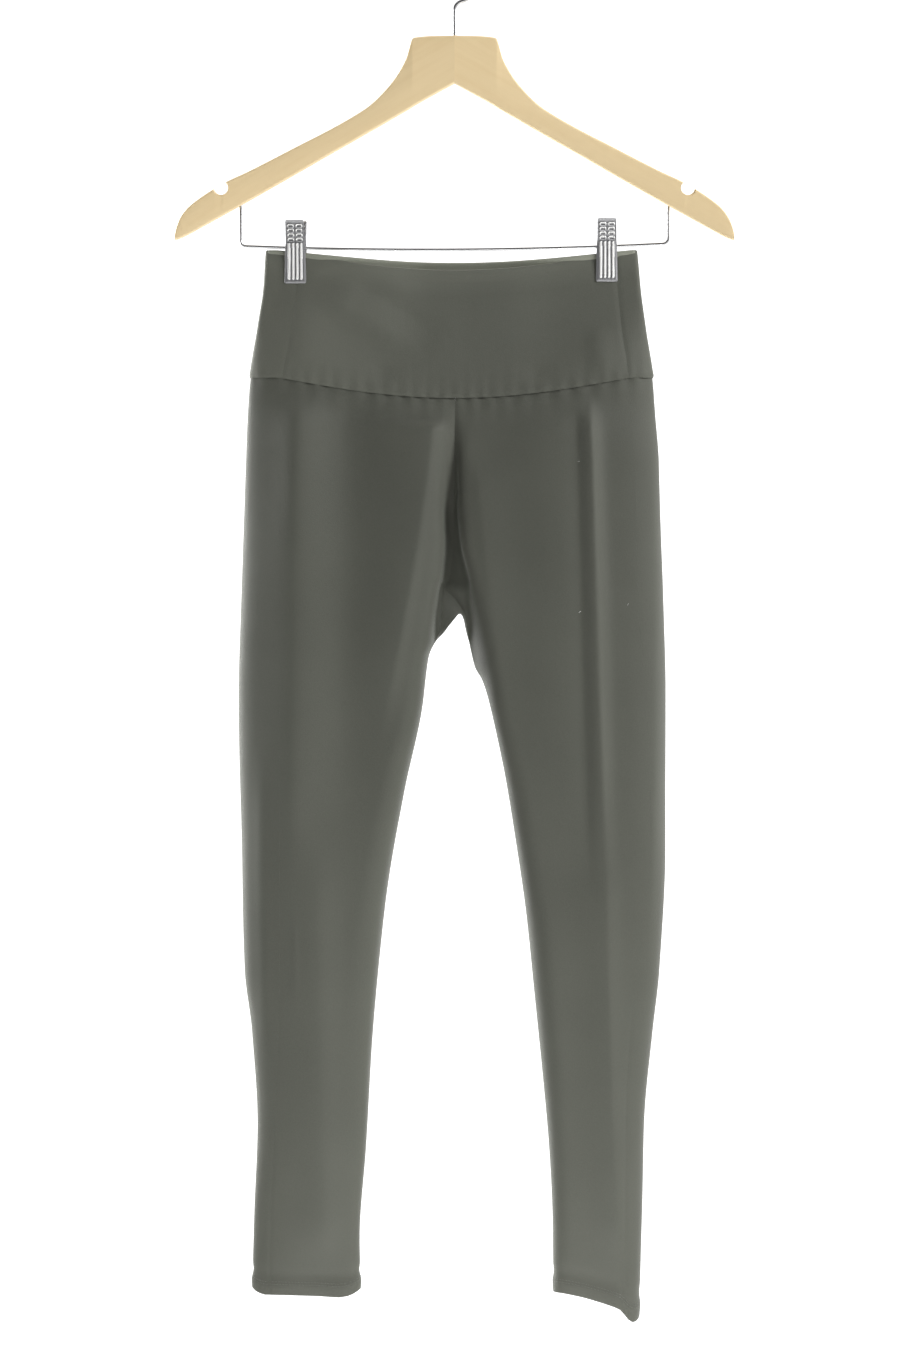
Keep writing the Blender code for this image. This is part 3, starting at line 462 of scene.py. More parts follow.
# Creases: the path's three points in the front view, how far the crest stands proud (a
# trough is negative), its reach to the viewer's left and right, the shares of its length
# over which it starts and ends, and how round its crest is (2 is soft, 1 is sharp).
Crease = namedtuple("Crease", "x0 z0 x1 z1 x2 z2 height left right start end round")
LEG_CREASES = {
    ("r", "front"): table(Crease,
        (-127, -345, -127, -560, -129, -800, 6.0, 19, 22, 0.09, 0.3, 1.7),
        (-122, -348, -123, -400, -125, -520, 3.0, 14, 22, 0.25, 0.5, 1.8),
        (-84, -350, -84, -540, -84, -760, -3.5, 22, 26, 0.05, 0.35, 2.0),
        (-17, -372, -23, -460, -62, -640, 6.0, 34, 9, 0.06, 0.3, 1.6),
        (-127, -750, -125, -800, -127, -862, 0.6, 2.5, 3, 0.3, 0.4, 1.6),
        (-112, -690, -106, -860, -104, -1055, 5.5, 24, 17, 0.25, 0.12, 1.9),
        (-152, -620, -153, -760, -149, -900, 1.2, 5, 7, 0.3, 0.3, 2.0),
    ),
    ("l", "front"): table(Crease,
        (107, -350, 112, -545, 120, -745, 8.0, 27, 5.5, 0.1, 0.25, 1.4),
        (97, -362, 101, -545, 108, -760, -3.6, 11, 5.5, 0.06, 0.25, 1.6),
        (120, -660, 120, -860, 131, -1050, 5.0, 20, 9, 0.25, 0.12, 1.5),
        (152, -360, 158, -600, 152, -820, 5.0, 34, 9, 0.1, 0.3, 1.8),
        (71, -350, 73, -520, 84, -780, 5.0, 30, 50, 0.1, 0.4, 1.9),
        (18, -400, 26, -490, 42, -620, 2.0, 8, 24, 0.15, 0.4, 1.9),
        (70, -720, 84, -860, 90, -1030, 1.2, 10, 18, 0.3, 0.15, 1.9),
    ),
    ("r", "back"): table(Crease,
        (-120, -380, -112, -600, -104, -900, 4.0, 16, 22, 0.15, 0.3, 1.8),
        (-52, -400, -58, -560, -72, -760, 3.0, 20, 16, 0.2, 0.3, 2.0),
        (-30, -430, -60, -520, -110, -560, 1.6, 10, 12, 0.3, 0.4, 2.0),
        (-90, -860, -104, -930, -128, -960, 1.4, 8, 9, 0.3, 0.4, 2.0),
    ),
    ("l", "back"): table(Crease,
        (112, -372, 108, -600, 102, -920, 4.2, 20, 15, 0.12, 0.3, 1.8),
        (56, -390, 60, -540, 76, -740, 2.8, 15, 20, 0.2, 0.3, 2.0),
        (32, -440, 62, -530, 116, -590, 1.8, 12, 10, 0.3, 0.4, 2.0),
        (88, -830, 108, -900, 136, -940, 1.6, 9, 8, 0.3, 0.4, 2.0),
    ),
}
BAND_CREASES = {
    "front": table(Crease,
        (-110, -248, -58, -278, -4, -312, -4.6, 40, 13, 0.4, 0.5, 2.0),
        (-112, -268, -66, -296, -20, -318, 4.0, 11, 30, 0.3, 0.5, 2.0),
        (-122, -258, -119, -300, -117, -350, 4.5, 18, 40, 0.35, 0.65, 1.8),
        (8, -244, 12, -285, 16, -330, -2.5, 70, 70, 0.04, 0.4, 2.0),
        (-57, -322, -58, -334, -59, -350, -1.0, 12, 12, 0.5, 0.4, 2.0),
        (65, -322, 66, -334, 67, -350, -1.2, 12, 12, 0.5, 0.4, 2.0),
        (112, -296, 116, -320, 118, -345, 1.6, 9, 12, 0.3, 0.3, 2.0),
    ),
    "back": table(Crease,
        (-112, -268, -80, -290, -30, -318, 2.0, 9, 9, 0.15, 0.6, 2.0),
        (106, -268, 74, -294, 26, -314, 1.8, 10, 10, 0.15, 0.6, 2.0),
    ),
}


# ---------------------------------------------------------------- sections


def smooth(t):
    """0 to 1 with level ends, for a number or an array."""
    t = np.clip(t, 0.0, 1.0)
    return t * t * (3 - 2 * t)


def bell(distance, reach, power=2):
    """1 at no distance, falling to nothing past the reach."""
    return np.exp(-(distance / reach)**power)


def at(rows, z):
    """A table's row at any height, by monotone cubics between its rows."""
    values = np.array(rows, dtype=float)[::-1]
    heights = values[:, 0]
    z = float(np.clip(z, heights[0], heights[-1]))
    k = int(np.clip(np.searchsorted(heights, z) - 1, 0, len(rows) - 2))
    slopes = np.diff(values, axis=0) / np.diff(heights)[:, None]
    tangents = np.zeros_like(values)
    tangents[0], tangents[-1] = slopes[0], slopes[-1]
    same_way = slopes[:-1] * slopes[1:] > 0
    total = np.abs(slopes[:-1]) + np.abs(slopes[1:]) + 1e-12
    tangents[1:-1] = np.where(same_way, 2 * slopes[:-1] * np.abs(slopes[1:]) / total, 0.0)
    span = heights[k + 1] - heights[k]
    t = (z - heights[k]) / span
    value = ((2 * t**3 - 3 * t**2 + 1) * values[k] + (t**3 - 2 * t**2 + t) * span * tangents[k]
             + (3 * t**2 - 2 * t**3) * values[k + 1] + (t**3 - t**2) * span * tangents[k + 1])
    return type(rows[0])(*value)


def bezier(p0, p1, p2, p3, count):
    """Points along a cubic curve."""
    t = np.linspace(0, 1, count)[:, None]
    return (1 - t)**3 * p0 + 3 * (1 - t)**2 * t * p1 + 3 * (1 - t) * t**2 * p2 + t**3 * p3


def face_path(inner, outer, outer_y):
    """Plan points of one face, from its inner seam over the crest and middle to the edge."""
    seam = np.array([inner.seam_x, inner.seam_y])
    crest = np.array([inner.crest_x, inner.crest_y])
    wall = seam + np.array([inner.wall_x, inner.wall_y])
    fold = np.array([inner.fold_x, inner.crest_y])
    middle_x = crest[0] + MIDDLE_SHARE * (outer.out_x - crest[0])
    middle = np.array([middle_x, outer_y])
    reach = np.array([MIDDLE_REACH * (middle_x - crest[0]), 0.0])
    turn = bezier(seam, wall, fold, crest, TURN_POINTS)
    flat = bezier(crest, crest + reach, middle - reach, middle, FLAT_POINTS)
    angles = np.linspace(0, math.pi / 2, ROUND_POINTS)
    power = 2 / ROUNDING
    end_x = middle_x + (outer.out_x - middle_x) * np.sin(angles)**power
    end_y = outer.out_y + (outer_y - outer.out_y) * np.abs(np.cos(angles))**power
    return np.vstack([turn[:-1], flat[:-1], np.column_stack([end_x, end_y])])


def split_at_side(front, side_x):
    """The front path cut where it crosses the side seam, near its outer edge."""
    far = np.abs(front[:, 0])
    k = int(np.nonzero(far >= abs(side_x))[0][0])
    t = (abs(side_x) - far[k - 1]) / (far[k] - far[k - 1])
    cut = front[k - 1] + t * (front[k] - front[k - 1])
    return np.vstack([front[:k], cut]), np.vstack([cut, front[k:]])


def panel_path(side, face, z):
    """The outer row at a height, and a panel's plan path there, from its inner seam on."""
    outer = at(OUTER[side], z)
    front = face_path(at(FRONT[side], z), outer, outer.front_y)
    face_part, wrap = split_at_side(front, outer.side_x)
    if face == "front":
        return outer, face_part
    back = face_path(at(BACK[side], z), outer, outer.back_y)
    return outer, np.vstack([wrap, back[::-1][1:]])[::-1]


def lengths_along(path):
    """How far each point of a path lies along it."""
    return np.concatenate([[0], np.cumsum(np.linalg.norm(np.diff(path, axis=0), axis=1))])


def points_at(path, along, marks):
    """Points of a path, given its lengths, at marked lengths along it."""
    return np.column_stack([np.interp(marks, along, column) for column in path.T])


def stations(length, count):
    """Even steps along a length, with one more close to its end, so that shading runs on."""
    even = np.linspace(0, length, count - 1)
    return np.concatenate([even[:-1], [length - SEAM_NEAR, length]])


def spaced(path, count):
    """Points at the stations along a path, and the path's length."""
    along = lengths_along(path)
    return points_at(path, along, stations(along[-1], count)), along[-1]


def sag(x, z, top, seam):
    """How much lower the cloth hangs between the clips, at the waistband and below it."""
    shape = np.clip(1 - (x / SAG_HALF_WIDTH)**2, 0, 1)**SAG_SHAPE
    if z > BAND_SEAM:
        amount = seam + (top - seam) * (z - BAND_SEAM) / (BAND_TOP - BAND_SEAM)
    else:
        amount = seam * (1 - smooth((BAND_SEAM - z) / (BAND_SEAM - SAG_END)))
    return amount * shape


def sag_of(points, z):
    """The sag at each plan point, which differs between front and back."""
    front, back = sag(points[:, 0], z, *FRONT_SAG), sag(points[:, 0], z, *BACK_SAG)
    return np.where(points[:, 1] < 0, front, back)


def pinched(points, z):
    """Waistband points, pressed flat under the clips and turned as they are."""
    x, y = points[:, 0], points[:, 1].copy()
    fade = 1 - smooth((PINCH_BOTTOM - z) / (PINCH_BOTTOM - PINCH_END))
    turned = np.zeros_like(x)
    for side, sign in SIDES.items():
        clip = CLIP_X[side]
        reach = np.where(np.abs(x) > abs(clip), PINCH_OUTER, PINCH_INNER)
        off = np.abs(x - clip) - CLIP_FLAT_HALF
        press = fade * (1 - smooth(off / (reach - CLIP_FLAT_HALF))) * (x * sign > 0)
        flat = np.sign(y) * (PINCHED_HALF + (np.abs(y) - PINCHED_HALF) * (1 - press))
        y = np.where(np.abs(y) > PINCHED_HALF, flat, y)
        turned += press * (x - clip) * math.tan(CLIP_TURN[side])
    return np.column_stack([x, y + turned])


# ---------------------------------------------------------------- relief


def polyline_distance(x, z, crease):
    """Signed distance of points from a crease's path, and how far along it they are."""
    t = np.linspace(0, 1, CREASE_POINTS)
    px = (1 - t)**2 * crease.x0 + 2 * t * (1 - t) * crease.x1 + t**2 * crease.x2
    pz = (1 - t)**2 * crease.z0 + 2 * t * (1 - t) * crease.z1 + t**2 * crease.z2
    best = np.full(x.shape, np.inf)
    signed = np.zeros(x.shape)
    along = np.zeros(x.shape)
    for k in range(CREASE_POINTS - 1):
        ax, az = px[k], pz[k]
        dx, dz = px[k + 1] - ax, pz[k + 1] - az
        length = math.hypot(dx, dz)
        u = np.clip(((x - ax) * dx + (z - az) * dz) / length**2, 0, 1)
        off_x, off_z = x - ax - u * dx, z - az - u * dz
        distance = np.hypot(off_x, off_z)
        nearer = distance < best
        side = np.sign((dx * off_z - dz * off_x) * (1 if dz < 0 else -1) + 1e-9)
        best = np.where(nearer, distance, best)
        signed = np.where(nearer, side * distance, signed)
        along = np.where(nearer, (k + u) / (CREASE_POINTS - 1), along)
    return signed, along


def relief(x, z, creases):
    """How far the creases lift each point along its normal."""
    total = np.zeros(x.shape)
    for crease in creases:
        signed, along = polyline_distance(x, z, crease)
        reach = np.where(signed < 0, crease.left, crease.right)
        strength = smooth(along / crease.start) * smooth((1 - along) / crease.end)
        total += crease.height * strength * bell(np.abs(signed), reach, crease.round)
    return total


def creased(panel, front, back):
    """Lift of the front's creases where cloth faces forward, and of the back's elsewhere."""
    x, z = panel.points[..., 0], panel.points[..., 2]
    forward = smooth((TURN_OVER - panel.outward[..., 1]) / TURN_SHARE)
    return forward * relief(x, z, front) + (1 - forward) * relief(x, z, back)


def drifted(x, z, drift):
    """Gentle unevenness: a sum of slanting waves whose lengths share no factor."""
    rng = np.random.default_rng(drift.seed)
    total = np.zeros(np.shape(x))
    for _ in range(DRIFT_WAVES):
        turn = rng.normal(0, DRIFT_SLANT)
        wave = drift.length * rng.uniform(*DRIFT_SPREAD)
        phase = rng.uniform(0, 2 * math.pi)
        slant = x * math.cos(turn) + z * math.sin(turn)
        total = total + np.sin(2 * math.pi * slant / wave + phase)
    return drift.height * total / DRIFT_SCALE


def ripple(x, pucker):
    """A wave along a seam, from -1 to 1, whose length wanders."""
    return np.sin(2 * math.pi * x / pucker.length + pucker.bend * np.sin(x / pucker.width))


def puckered(x, away, pucker):
    """Small gathers along a seam, which die out away from it."""
    return pucker.height * np.exp(-away / pucker.fade) * ripple(x, pucker)


def step_share(x):
    """The share of the waist seam's step that stays: less towards the wearer's right."""
    return 1 - TUCK_EASE * smooth((TUCK_EASE_FROM - x) / TUCK_EASE_WIDTH)


# ---------------------------------------------------------------- cloth panels

Panel = namedtuple("Panel", "name points across down outward")


def normals(points):
    """Unit normals of a grid of points, by its neighbours' differences."""
    cross = np.cross(np.gradient(points, axis=0), np.gradient(points, axis=1))
    return cross / (np.linalg.norm(cross, axis=2, keepdims=True) + 1e-12)


def middle_of(grid):
    """The value in the middle of a grid."""
    return grid[grid.shape[0] // 2, grid.shape[1] // 2]


def faced(points, way):
    """Unit normals of a grid, turned so that its middle faces a way."""
    outward = normals(points)
    return outward if np.dot(middle_of(outward), way) > 0 else -outward


def rows_between(top, bottom):
    """Heights of a panel's rows."""
    return np.linspace(top, bottom, round((top - bottom) / GRID) + 1)


def hem_lift(side, t):
    """How far a hem's edge lies above its even line; t runs from the inseam to the outside."""
    marks = np.array(HEM_EDGE[side])
    return np.interp(t, marks[:, 0], marks[:, 1])


def leg_panel(side, face):
    """Points of one leg panel, row by row from its inner seam to its side seam."""
    hem = OUTER[side][-1].z
    heights = rows_between(BAND_SEAM + TUCK, hem)
    paths = [panel_path(side, face, max(min(z, BAND_SEAM), hem)) for z in heights]
    longest = max(spaced(path, 3)[1] for _, path in paths)
    count = round(longest / GRID) + 1
    rows = []
    across = []
    for z, (outer, path) in zip(heights, paths):
        plan, length = spaced(path, count)
        t = np.clip((plan[:, 0] - path[0, 0]) / (outer.out_x - path[0, 0]), 0, 1)
        drop = sag_of(plan, min(z, BAND_SEAM)) + outer.tilt * t**TILT_CURVE
        drop -= hem_lift(side, t) * smooth(1 - (z - hem) / HEM_LIFT_FADE)
        rows.append(np.column_stack([plan, z - drop]))
        across.append(stations(length, count))
    points = np.array(rows)
    down = np.repeat((BAND_SEAM - heights)[:, None], count, axis=1)
    outward = faced(points, (0, FACES[face], 0))
    return Panel(f"leg_{face}_{side}", points, np.array(across), down, outward)


def shaped_leg(side, face):
    """A leg panel with its creases, seam grooves and tucked-in top."""
    panel = leg_panel(side, face)
    x, z = panel.points[..., 0], panel.points[..., 2]
    lift = creased(panel, LEG_CREASES[side, "front"], LEG_CREASES[side, "back"])
    lift *= smooth(panel.across / INSEAM_FADE)
    lift += drifted(x, z, LEG_DRIFT[side])

    from_side = panel.across[:, -1:] - panel.across
    shows = smooth((LEG_SEAM_SHOWS - z) / LEG_SEAM_FADE)
    groove = LEG_SEAM_DIP * shows * bell(from_side, SEAM_DIP_WIDTH)
    on_gusset = (z <= RISE_END) & (z >= GUSSET_END)
    inner_groove = np.where(on_gusset, 0.0, SEAM_DIP * bell(panel.across, SEAM_DIP_WIDTH))
    on_rise = (z > RISE_END) & (panel.across < RISE_WIDTH)
    way = np.where(on_rise[..., None], np.array([0, FACES[face], 0]), panel.outward)

    tucked = TUCK_DEPTH * step_share(x) * (1 - smooth((panel.down + TUCK_START) / TUCK_FADE))
    pucker = puckered(x, np.clip(panel.down, 0, None), LEG_PUCKER)
    gather = 1 + GATHER.height * ripple(x, GATHER) * np.sin(x / GATHER.fade)
    shade = UNDER_BAND_DIP * gather * bell(panel.down - UNDER_BAND, UNDER_BAND_REACH)
    facing = LEAST_FACING + (1 - LEAST_FACING) * np.abs(panel.outward[..., 1])
    sunk = (tucked + shade - pucker) * facing

    up = panel.down[-1:] - panel.down
    share, short, long = HEM_UNEVEN
    uneven = 1 + share * np.sin(x / short) * np.sin(x / long + 1)
    lift -= HEM_DIP * uneven * bell(up - HEM_DIP_AT, HEM_DIP_REACH)
    lift += HEM_ROLL * bell(up - HEM_DEPTH / 2, HEM_ROLL_WIDTH)
    points = panel.points + panel.outward * (lift - groove - sunk)[..., None]
    return panel._replace(points=points - way * inner_groove[..., None])


def band_panel(face):
    """Points of the front or back of the waistband, from the wearer's right to left."""
    heights = rows_between(BAND_TOP, BAND_SEAM)
    rows = []
    across = []
    for z in heights:
        halves = []
        for side, sign in SIDES.items():
            plan, length = spaced(panel_path(side, face, z)[1], BAND_COUNT[face])
            place = np.column_stack([pinched(plan, z), z - sag_of(plan, z)])
            halves.append((place, stations(length, BAND_COUNT[face]) * sign))
        (right, right_along), (left, left_along) = halves
        rows.append(np.vstack([right[::-1], left[1:]]))
        across.append(np.concatenate([right_along[::-1], left_along[1:]]))
    points = np.array(rows)
    down = np.repeat((BAND_TOP - heights)[:, None], points.shape[1], axis=1)
    outward = faced(points, (0, FACES[face], 0))
    return Panel(f"waistband_{face}", points, np.array(across), down, outward)


def shaped_band(face):
    """The waistband with its creases, upright seams and rolled lower edge."""
    panel = band_panel(face)
    x, z = panel.points[..., 0], panel.points[..., 2]
    lift = creased(panel, BAND_CREASES["front"], BAND_CREASES["back"])
    lift += drifted(x, z, BAND_DRIFT)
    lift *= smooth(panel.down / BAND_FADE)
    near_top = np.clip(1 - panel.down / BAND_LEAN_REACH, 0, 1)**2
    lift -= BAND_LEAN * near_top * np.abs(panel.outward[..., 1])
    ends = np.minimum(panel.across - panel.across[:, :1], panel.across[:, -1:] - panel.across)
    lift -= BAND_SEAM_DIP * bell(ends, SEAM_DIP_WIDTH)
    up = (BAND_TOP - BAND_SEAM) - panel.down
    lift += BAND_ROLL * step_share(x) * np.sin(math.pi * np.clip(up / BAND_ROLL_WIDTH, 0, 1))
    lift -= BAND_EDGE * np.clip(1 - up / BAND_EDGE_WIDTH, 0, 1)**2
    lift += puckered(x, up, BAND_PUCKER)
    return panel._replace(points=panel.points + panel.outward * lift[..., None])


def gusset_panel():
    """The crotch piece, blended between the inner edges of the four leg panels."""
    heights = np.linspace(RISE_END, GUSSET_END, GUSSET_COUNT)

    def edge(side, face):
        starts = np.array([panel_path(side, face, z)[1][0] for z in heights])
        drops = [sag_of(start[None], z)[0] for start, z in zip(starts, heights)]
        return np.column_stack([starts, heights - drops])

    front_r, front_l = edge("r", "front"), edge("l", "front")
    back_r, back_l = edge("r", "back")[::-1], edge("l", "back")[::-1]
    front, back = (front_r[0] + front_l[0]) / 2, (back_r[-1] + back_l[-1]) / 2
    right, left = (front_r[-1] + back_r[0]) / 2, (front_l[-1] + back_l[0]) / 2
    first_row, last_row, first_column, last_column = (
        np.vstack([start, border[1:-1], end]) for start, border, end in (
            (front, front_r, right), (left, back_l, back), (front, front_l, left),
            (right, back_r, back)))
    t = np.linspace(0, 1, GUSSET_COUNT)
    u, v = t[None, :, None], t[:, None, None]
    points = ((1 - v) * first_row[None] + v * last_row[None]
              + (1 - u) * first_column[:, None] + u * last_column[:, None]
              - (1 - u) * (1 - v) * front - u * (1 - v) * right
              - (1 - u) * v * left - u * v * back)
    wide, long = (np.linalg.norm(np.diff(points, axis=axis), axis=2).sum(axis=axis).mean()
                  for axis in (1, 0))
    across, down = np.meshgrid(t * wide, t * long)
    return Panel("gusset", points, across, down, faced(points, (0, 0, -1)))


def folded_over(panel, at_top, depth):
    """The panel with one edge folded to its inside: a round turn, then the inner layer."""
    points, outward, across, down = panel.points, panel.outward, panel.across, panel.down
    if at_top:
        points, outward, across, down = points[::-1], outward[::-1], across[::-1], down[::-1]
    edge, normal = points[-1], outward[-1]
    onward = edge - points[-2]
    onward -= normal * np.sum(onward * normal, axis=1, keepdims=True)
    onward /= np.linalg.norm(onward, axis=1, keepdims=True)
    radius = FOLD_GAP / 2
    turn = [edge + normal * (math.cos(angle) - 1) * radius + onward * math.sin(angle) * radius
            for angle in np.linspace(0, math.pi, FOLD_POINTS)[1:-1]]
    layers = np.abs(down[:, 0] - down[-1, 0]) <= depth
    inner = (points - outward * FOLD_GAP)[layers][::-1]
    extra = len(turn) + len(inner)
    step = down[-1, 0] - down[-2, 0]
    beyond = down[-1, 0] + step * np.arange(1, extra + 1)
    return panel._replace(
        points=np.vstack([points, np.array(turn), inner]),
        across=np.vstack([across, np.repeat(across[-1:], extra, axis=0)]),
        down=np.vstack([down, np.repeat(beyond[:, None], down.shape[1], axis=1)]),
        outward=np.vstack([outward, np.repeat(outward[-1:], extra, axis=0)]),
    )


# ---------------------------------------------------------------- meshes


def add_object(name, data):
    """An object of some data, in the scene."""
    obj = bpy.data.objects.new(name, data)
    bpy.context.scene.collection.objects.link(obj)
    return obj


def in_place(points):
    """Cloth points in metres, their depth counted from the bar's."""
    return points * MM + np.array([0, BAR_Y * MM, 0])


def grid_mesh(name, points, inside_out=False):
    """A smooth mesh of quads over a grid of points in metres."""
    rows, columns = points.shape[:2]
    index = np.arange(rows * columns).reshape(rows, columns)
    quads = np.stack([index[:-1, :-1], index[1:, :-1], index[1:, 1:], index[:-1, 1:]], axis=-1)
    if inside_out:
        quads = quads[..., ::-1]
    mesh = bpy.data.meshes.new(name)
    mesh.from_pydata(points.reshape(-1, 3).tolist(), [], quads.reshape(-1, 4).tolist())
    mesh.shade_smooth()
    return mesh


def add_wall(obj, thickness):
    """A thickness in mm, inwards, or outwards if it is negative."""
    wall = obj.modifiers.new("wall", "SOLIDIFY")
    wall.thickness = abs(thickness) * MM
    wall.offset = -1 if thickness > 0 else 1


def cloth_object(panel):
    """A panel as a mesh that faces outwards, with its cloth lengths as a UV map."""
    inside_out = np.dot(middle_of(normals(panel.points)), middle_of(panel.outward)) < 0
    mesh = grid_mesh(panel.name, in_place(panel.points), inside_out)
    border = bmesh.new()
    border.from_mesh(mesh)
    for edge in border.edges:
        edge.smooth = not edge.is_boundary
    border.to_mesh(mesh)
    border.free()
    layer = mesh.uv_layers.new(name="cloth")
    corners = np.empty(len(mesh.loops), dtype=np.int32)
    mesh.loops.foreach_get("vertex_index", corners)
    uv = np.column_stack([panel.across.ravel(), panel.down.ravel()])[corners] * MM
    layer.data.foreach_set("uv", uv.astype(np.float32).ravel())
    return add_object(f"{panel.name}_cloth", mesh)


def add_cloth(folded, node, material, inner=None, outer_rows=0):
    """A cloth piece, thickened and put in place of its solid."""
    obj = cloth_object(folded)
    add_wall(obj, CLOTH)
    obj.data.materials.append(material)
    if inner is not None:
        obj.data.materials.append(inner)
        columns = folded.points.shape[1] - 1
        for polygon in obj.data.polygons[outer_rows * columns:]:
            polygon.material_index = 1
    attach(obj, "root")
    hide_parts(node)


def loft(name, outlines):
    """A closed mesh through outlines of points in metres, capped at both ends."""
    bm = bmesh.new()
    loops = [[bm.verts.new(point) for point in outline] for outline in outlines]
    around = len(loops[0])
    for near, far in zip(loops, loops[1:]):
        for k in range(around):
            bm.faces.new((near[k], near[(k + 1) % around], far[(k + 1) % around], far[k]))
    bm.faces.new(loops[0])
    bm.faces.new(loops[-1])
    bmesh.ops.recalc_face_normals(bm, faces=bm.faces)
    mesh = bpy.data.meshes.new(name)
    bm.to_mesh(mesh)
    bm.free()
    return mesh


def tube(centres, radii, axis_hint, sides=6):
    """Vertices and faces of a closed tube through centres (metres) with a radius at each."""
    verts = []
    for k, (centre, radius) in enumerate(zip(centres, radii)):
        ahead = centres[min(k + 1, len(centres) - 1)] - centres[max(k - 1, 0)]
        ahead = ahead / np.linalg.norm(ahead)
        across = np.cross(ahead, axis_hint)
        across /= np.linalg.norm(across)
        up = np.cross(across, ahead)
        for angle in np.arange(sides) * 2 * math.pi / sides:
            verts.append(centre + radius * (math.cos(angle) * across + math.sin(angle) * up))
    faces = []
    for k in range(0, len(verts) - sides, sides):
        for s in range(sides):
            t = (s + 1) % sides
            faces.append((k + s, k + t, k + sides + t, k + sides + s))
    faces.append(tuple(range(sides))[::-1])
    faces.append(tuple(range(len(verts) - sides, len(verts))))
    return verts, faces


def joined_tubes(name, tubes, material):
    """One mesh object from many small tubes."""
    verts = []
    faces = []
    for tube_verts, tube_faces in tubes:
        start = len(verts)
        verts.extend(tube_verts)
        faces.extend(tuple(start + k for k in face) for face in tube_faces)
    mesh = bpy.data.meshes.new(name)
    mesh.from_pydata([tuple(v) for v in verts], [], faces)
    mesh.shade_smooth()
    mesh.materials.append(material)
    obj = add_object(name, mesh)
    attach(obj, "root")


# ---------------------------------------------------------------- materials


def add_node(tree, kind, inputs=None, **settings):
    """A shader node with its settings, and its inputs linked or set."""
    node = tree.nodes.new(kind)
    for key, value in settings.items():
        setattr(node, key, value)
    for key, value in (inputs or {}).items():
        socket = node.inputs[key]
        if isinstance(value, bpy.types.NodeSocket):
            tree.links.new(value, socket)
        else:
            socket.default_value = value
    return node


def maths(tree, operation, a, b=0.0):
    """The result of a Math node."""
    return add_node(tree, "ShaderNodeMath", {0: a, 1: b}, operation=operation).outputs[0]


def blended(tree, *parts):
    """The sum of values, each times its weight."""
    total = None
    for value, weight in parts:
        value = maths(tree, "MULTIPLY", value, weight)
        total = value if total is None else maths(tree, "ADD", total, value)
    return total


def object_place(tree):
    """Where a point is on its object, in metres."""
    return add_node(tree, "ShaderNodeTexCoord").outputs["Object"]


def stretched_place(tree, place, scale):
    """A place with its axes scaled."""
    return add_node(tree, "ShaderNodeMapping", {"Vector": place, "Scale": scale}).outputs["Vector"]


def noise(tree, place, scale, **more):
    """The value of a noise texture."""
    inputs = {"Vector": place, "Scale": scale, **more}
    return add_node(tree, "ShaderNodeTexNoise", inputs).outputs["Fac"]


def ranged(tree, value, start, end, low, high, kind="LINEAR"):
    """A value between start and end, turned into one between low and high."""
    inputs = {"Value": value, "From Min": start, "From Max": end, "To Min": low, "To Max": high}
    return add_node(tree, "ShaderNodeMapRange", inputs, interpolation_type=kind).outputs["Result"]


def bump(tree, height, strength, distance, **under):
    """The normal bumped by a height, over another normal if one is given."""
    inputs = {"Height": height, "Strength": strength, "Distance": distance, **under}
    return add_node(tree, "ShaderNodeBump", inputs).outputs["Normal"]


def ramp(tree, factor, stops):
    """The colour of a ramp with (place, colour) stops."""
    node = add_node(tree, "ShaderNodeValToRGB", {"Fac": factor})
    elements = node.color_ramp.elements
    while len(elements) < len(stops):
        elements.new(0.5)
    for element, (place, colour) in zip(elements, stops):
        element.position = place
        element.color = (*colour, 1)
    return node.outputs["Color"]


def times(colour, factors):
    """A colour times a factor for each channel, kept within 1."""
    return tuple(min(1.0, c * f) for c, f in zip(colour, factors))


def new_material(name, colour, **constants):
    """A Principled material and its tree and shader; constants are the shader's own inputs."""
    material = bpy.data.materials.new(name)
    material.use_nodes = True
    material.diffuse_color = (*colour, 1)
    tree = material.node_tree
    shader = tree.nodes["Principled BSDF"]
    shader.inputs["Base Color"].default_value = (*colour, 1)
    for key, value in constants.items():
        shader.inputs[key.replace("_", " ")].default_value = value
    return material, tree, shader


def finish_material(tree, shader, **links):
    """Join values to the shader's inputs."""
    for key, value in links.items():
        tree.links.new(value, shader.inputs[key.replace("_", " ")])


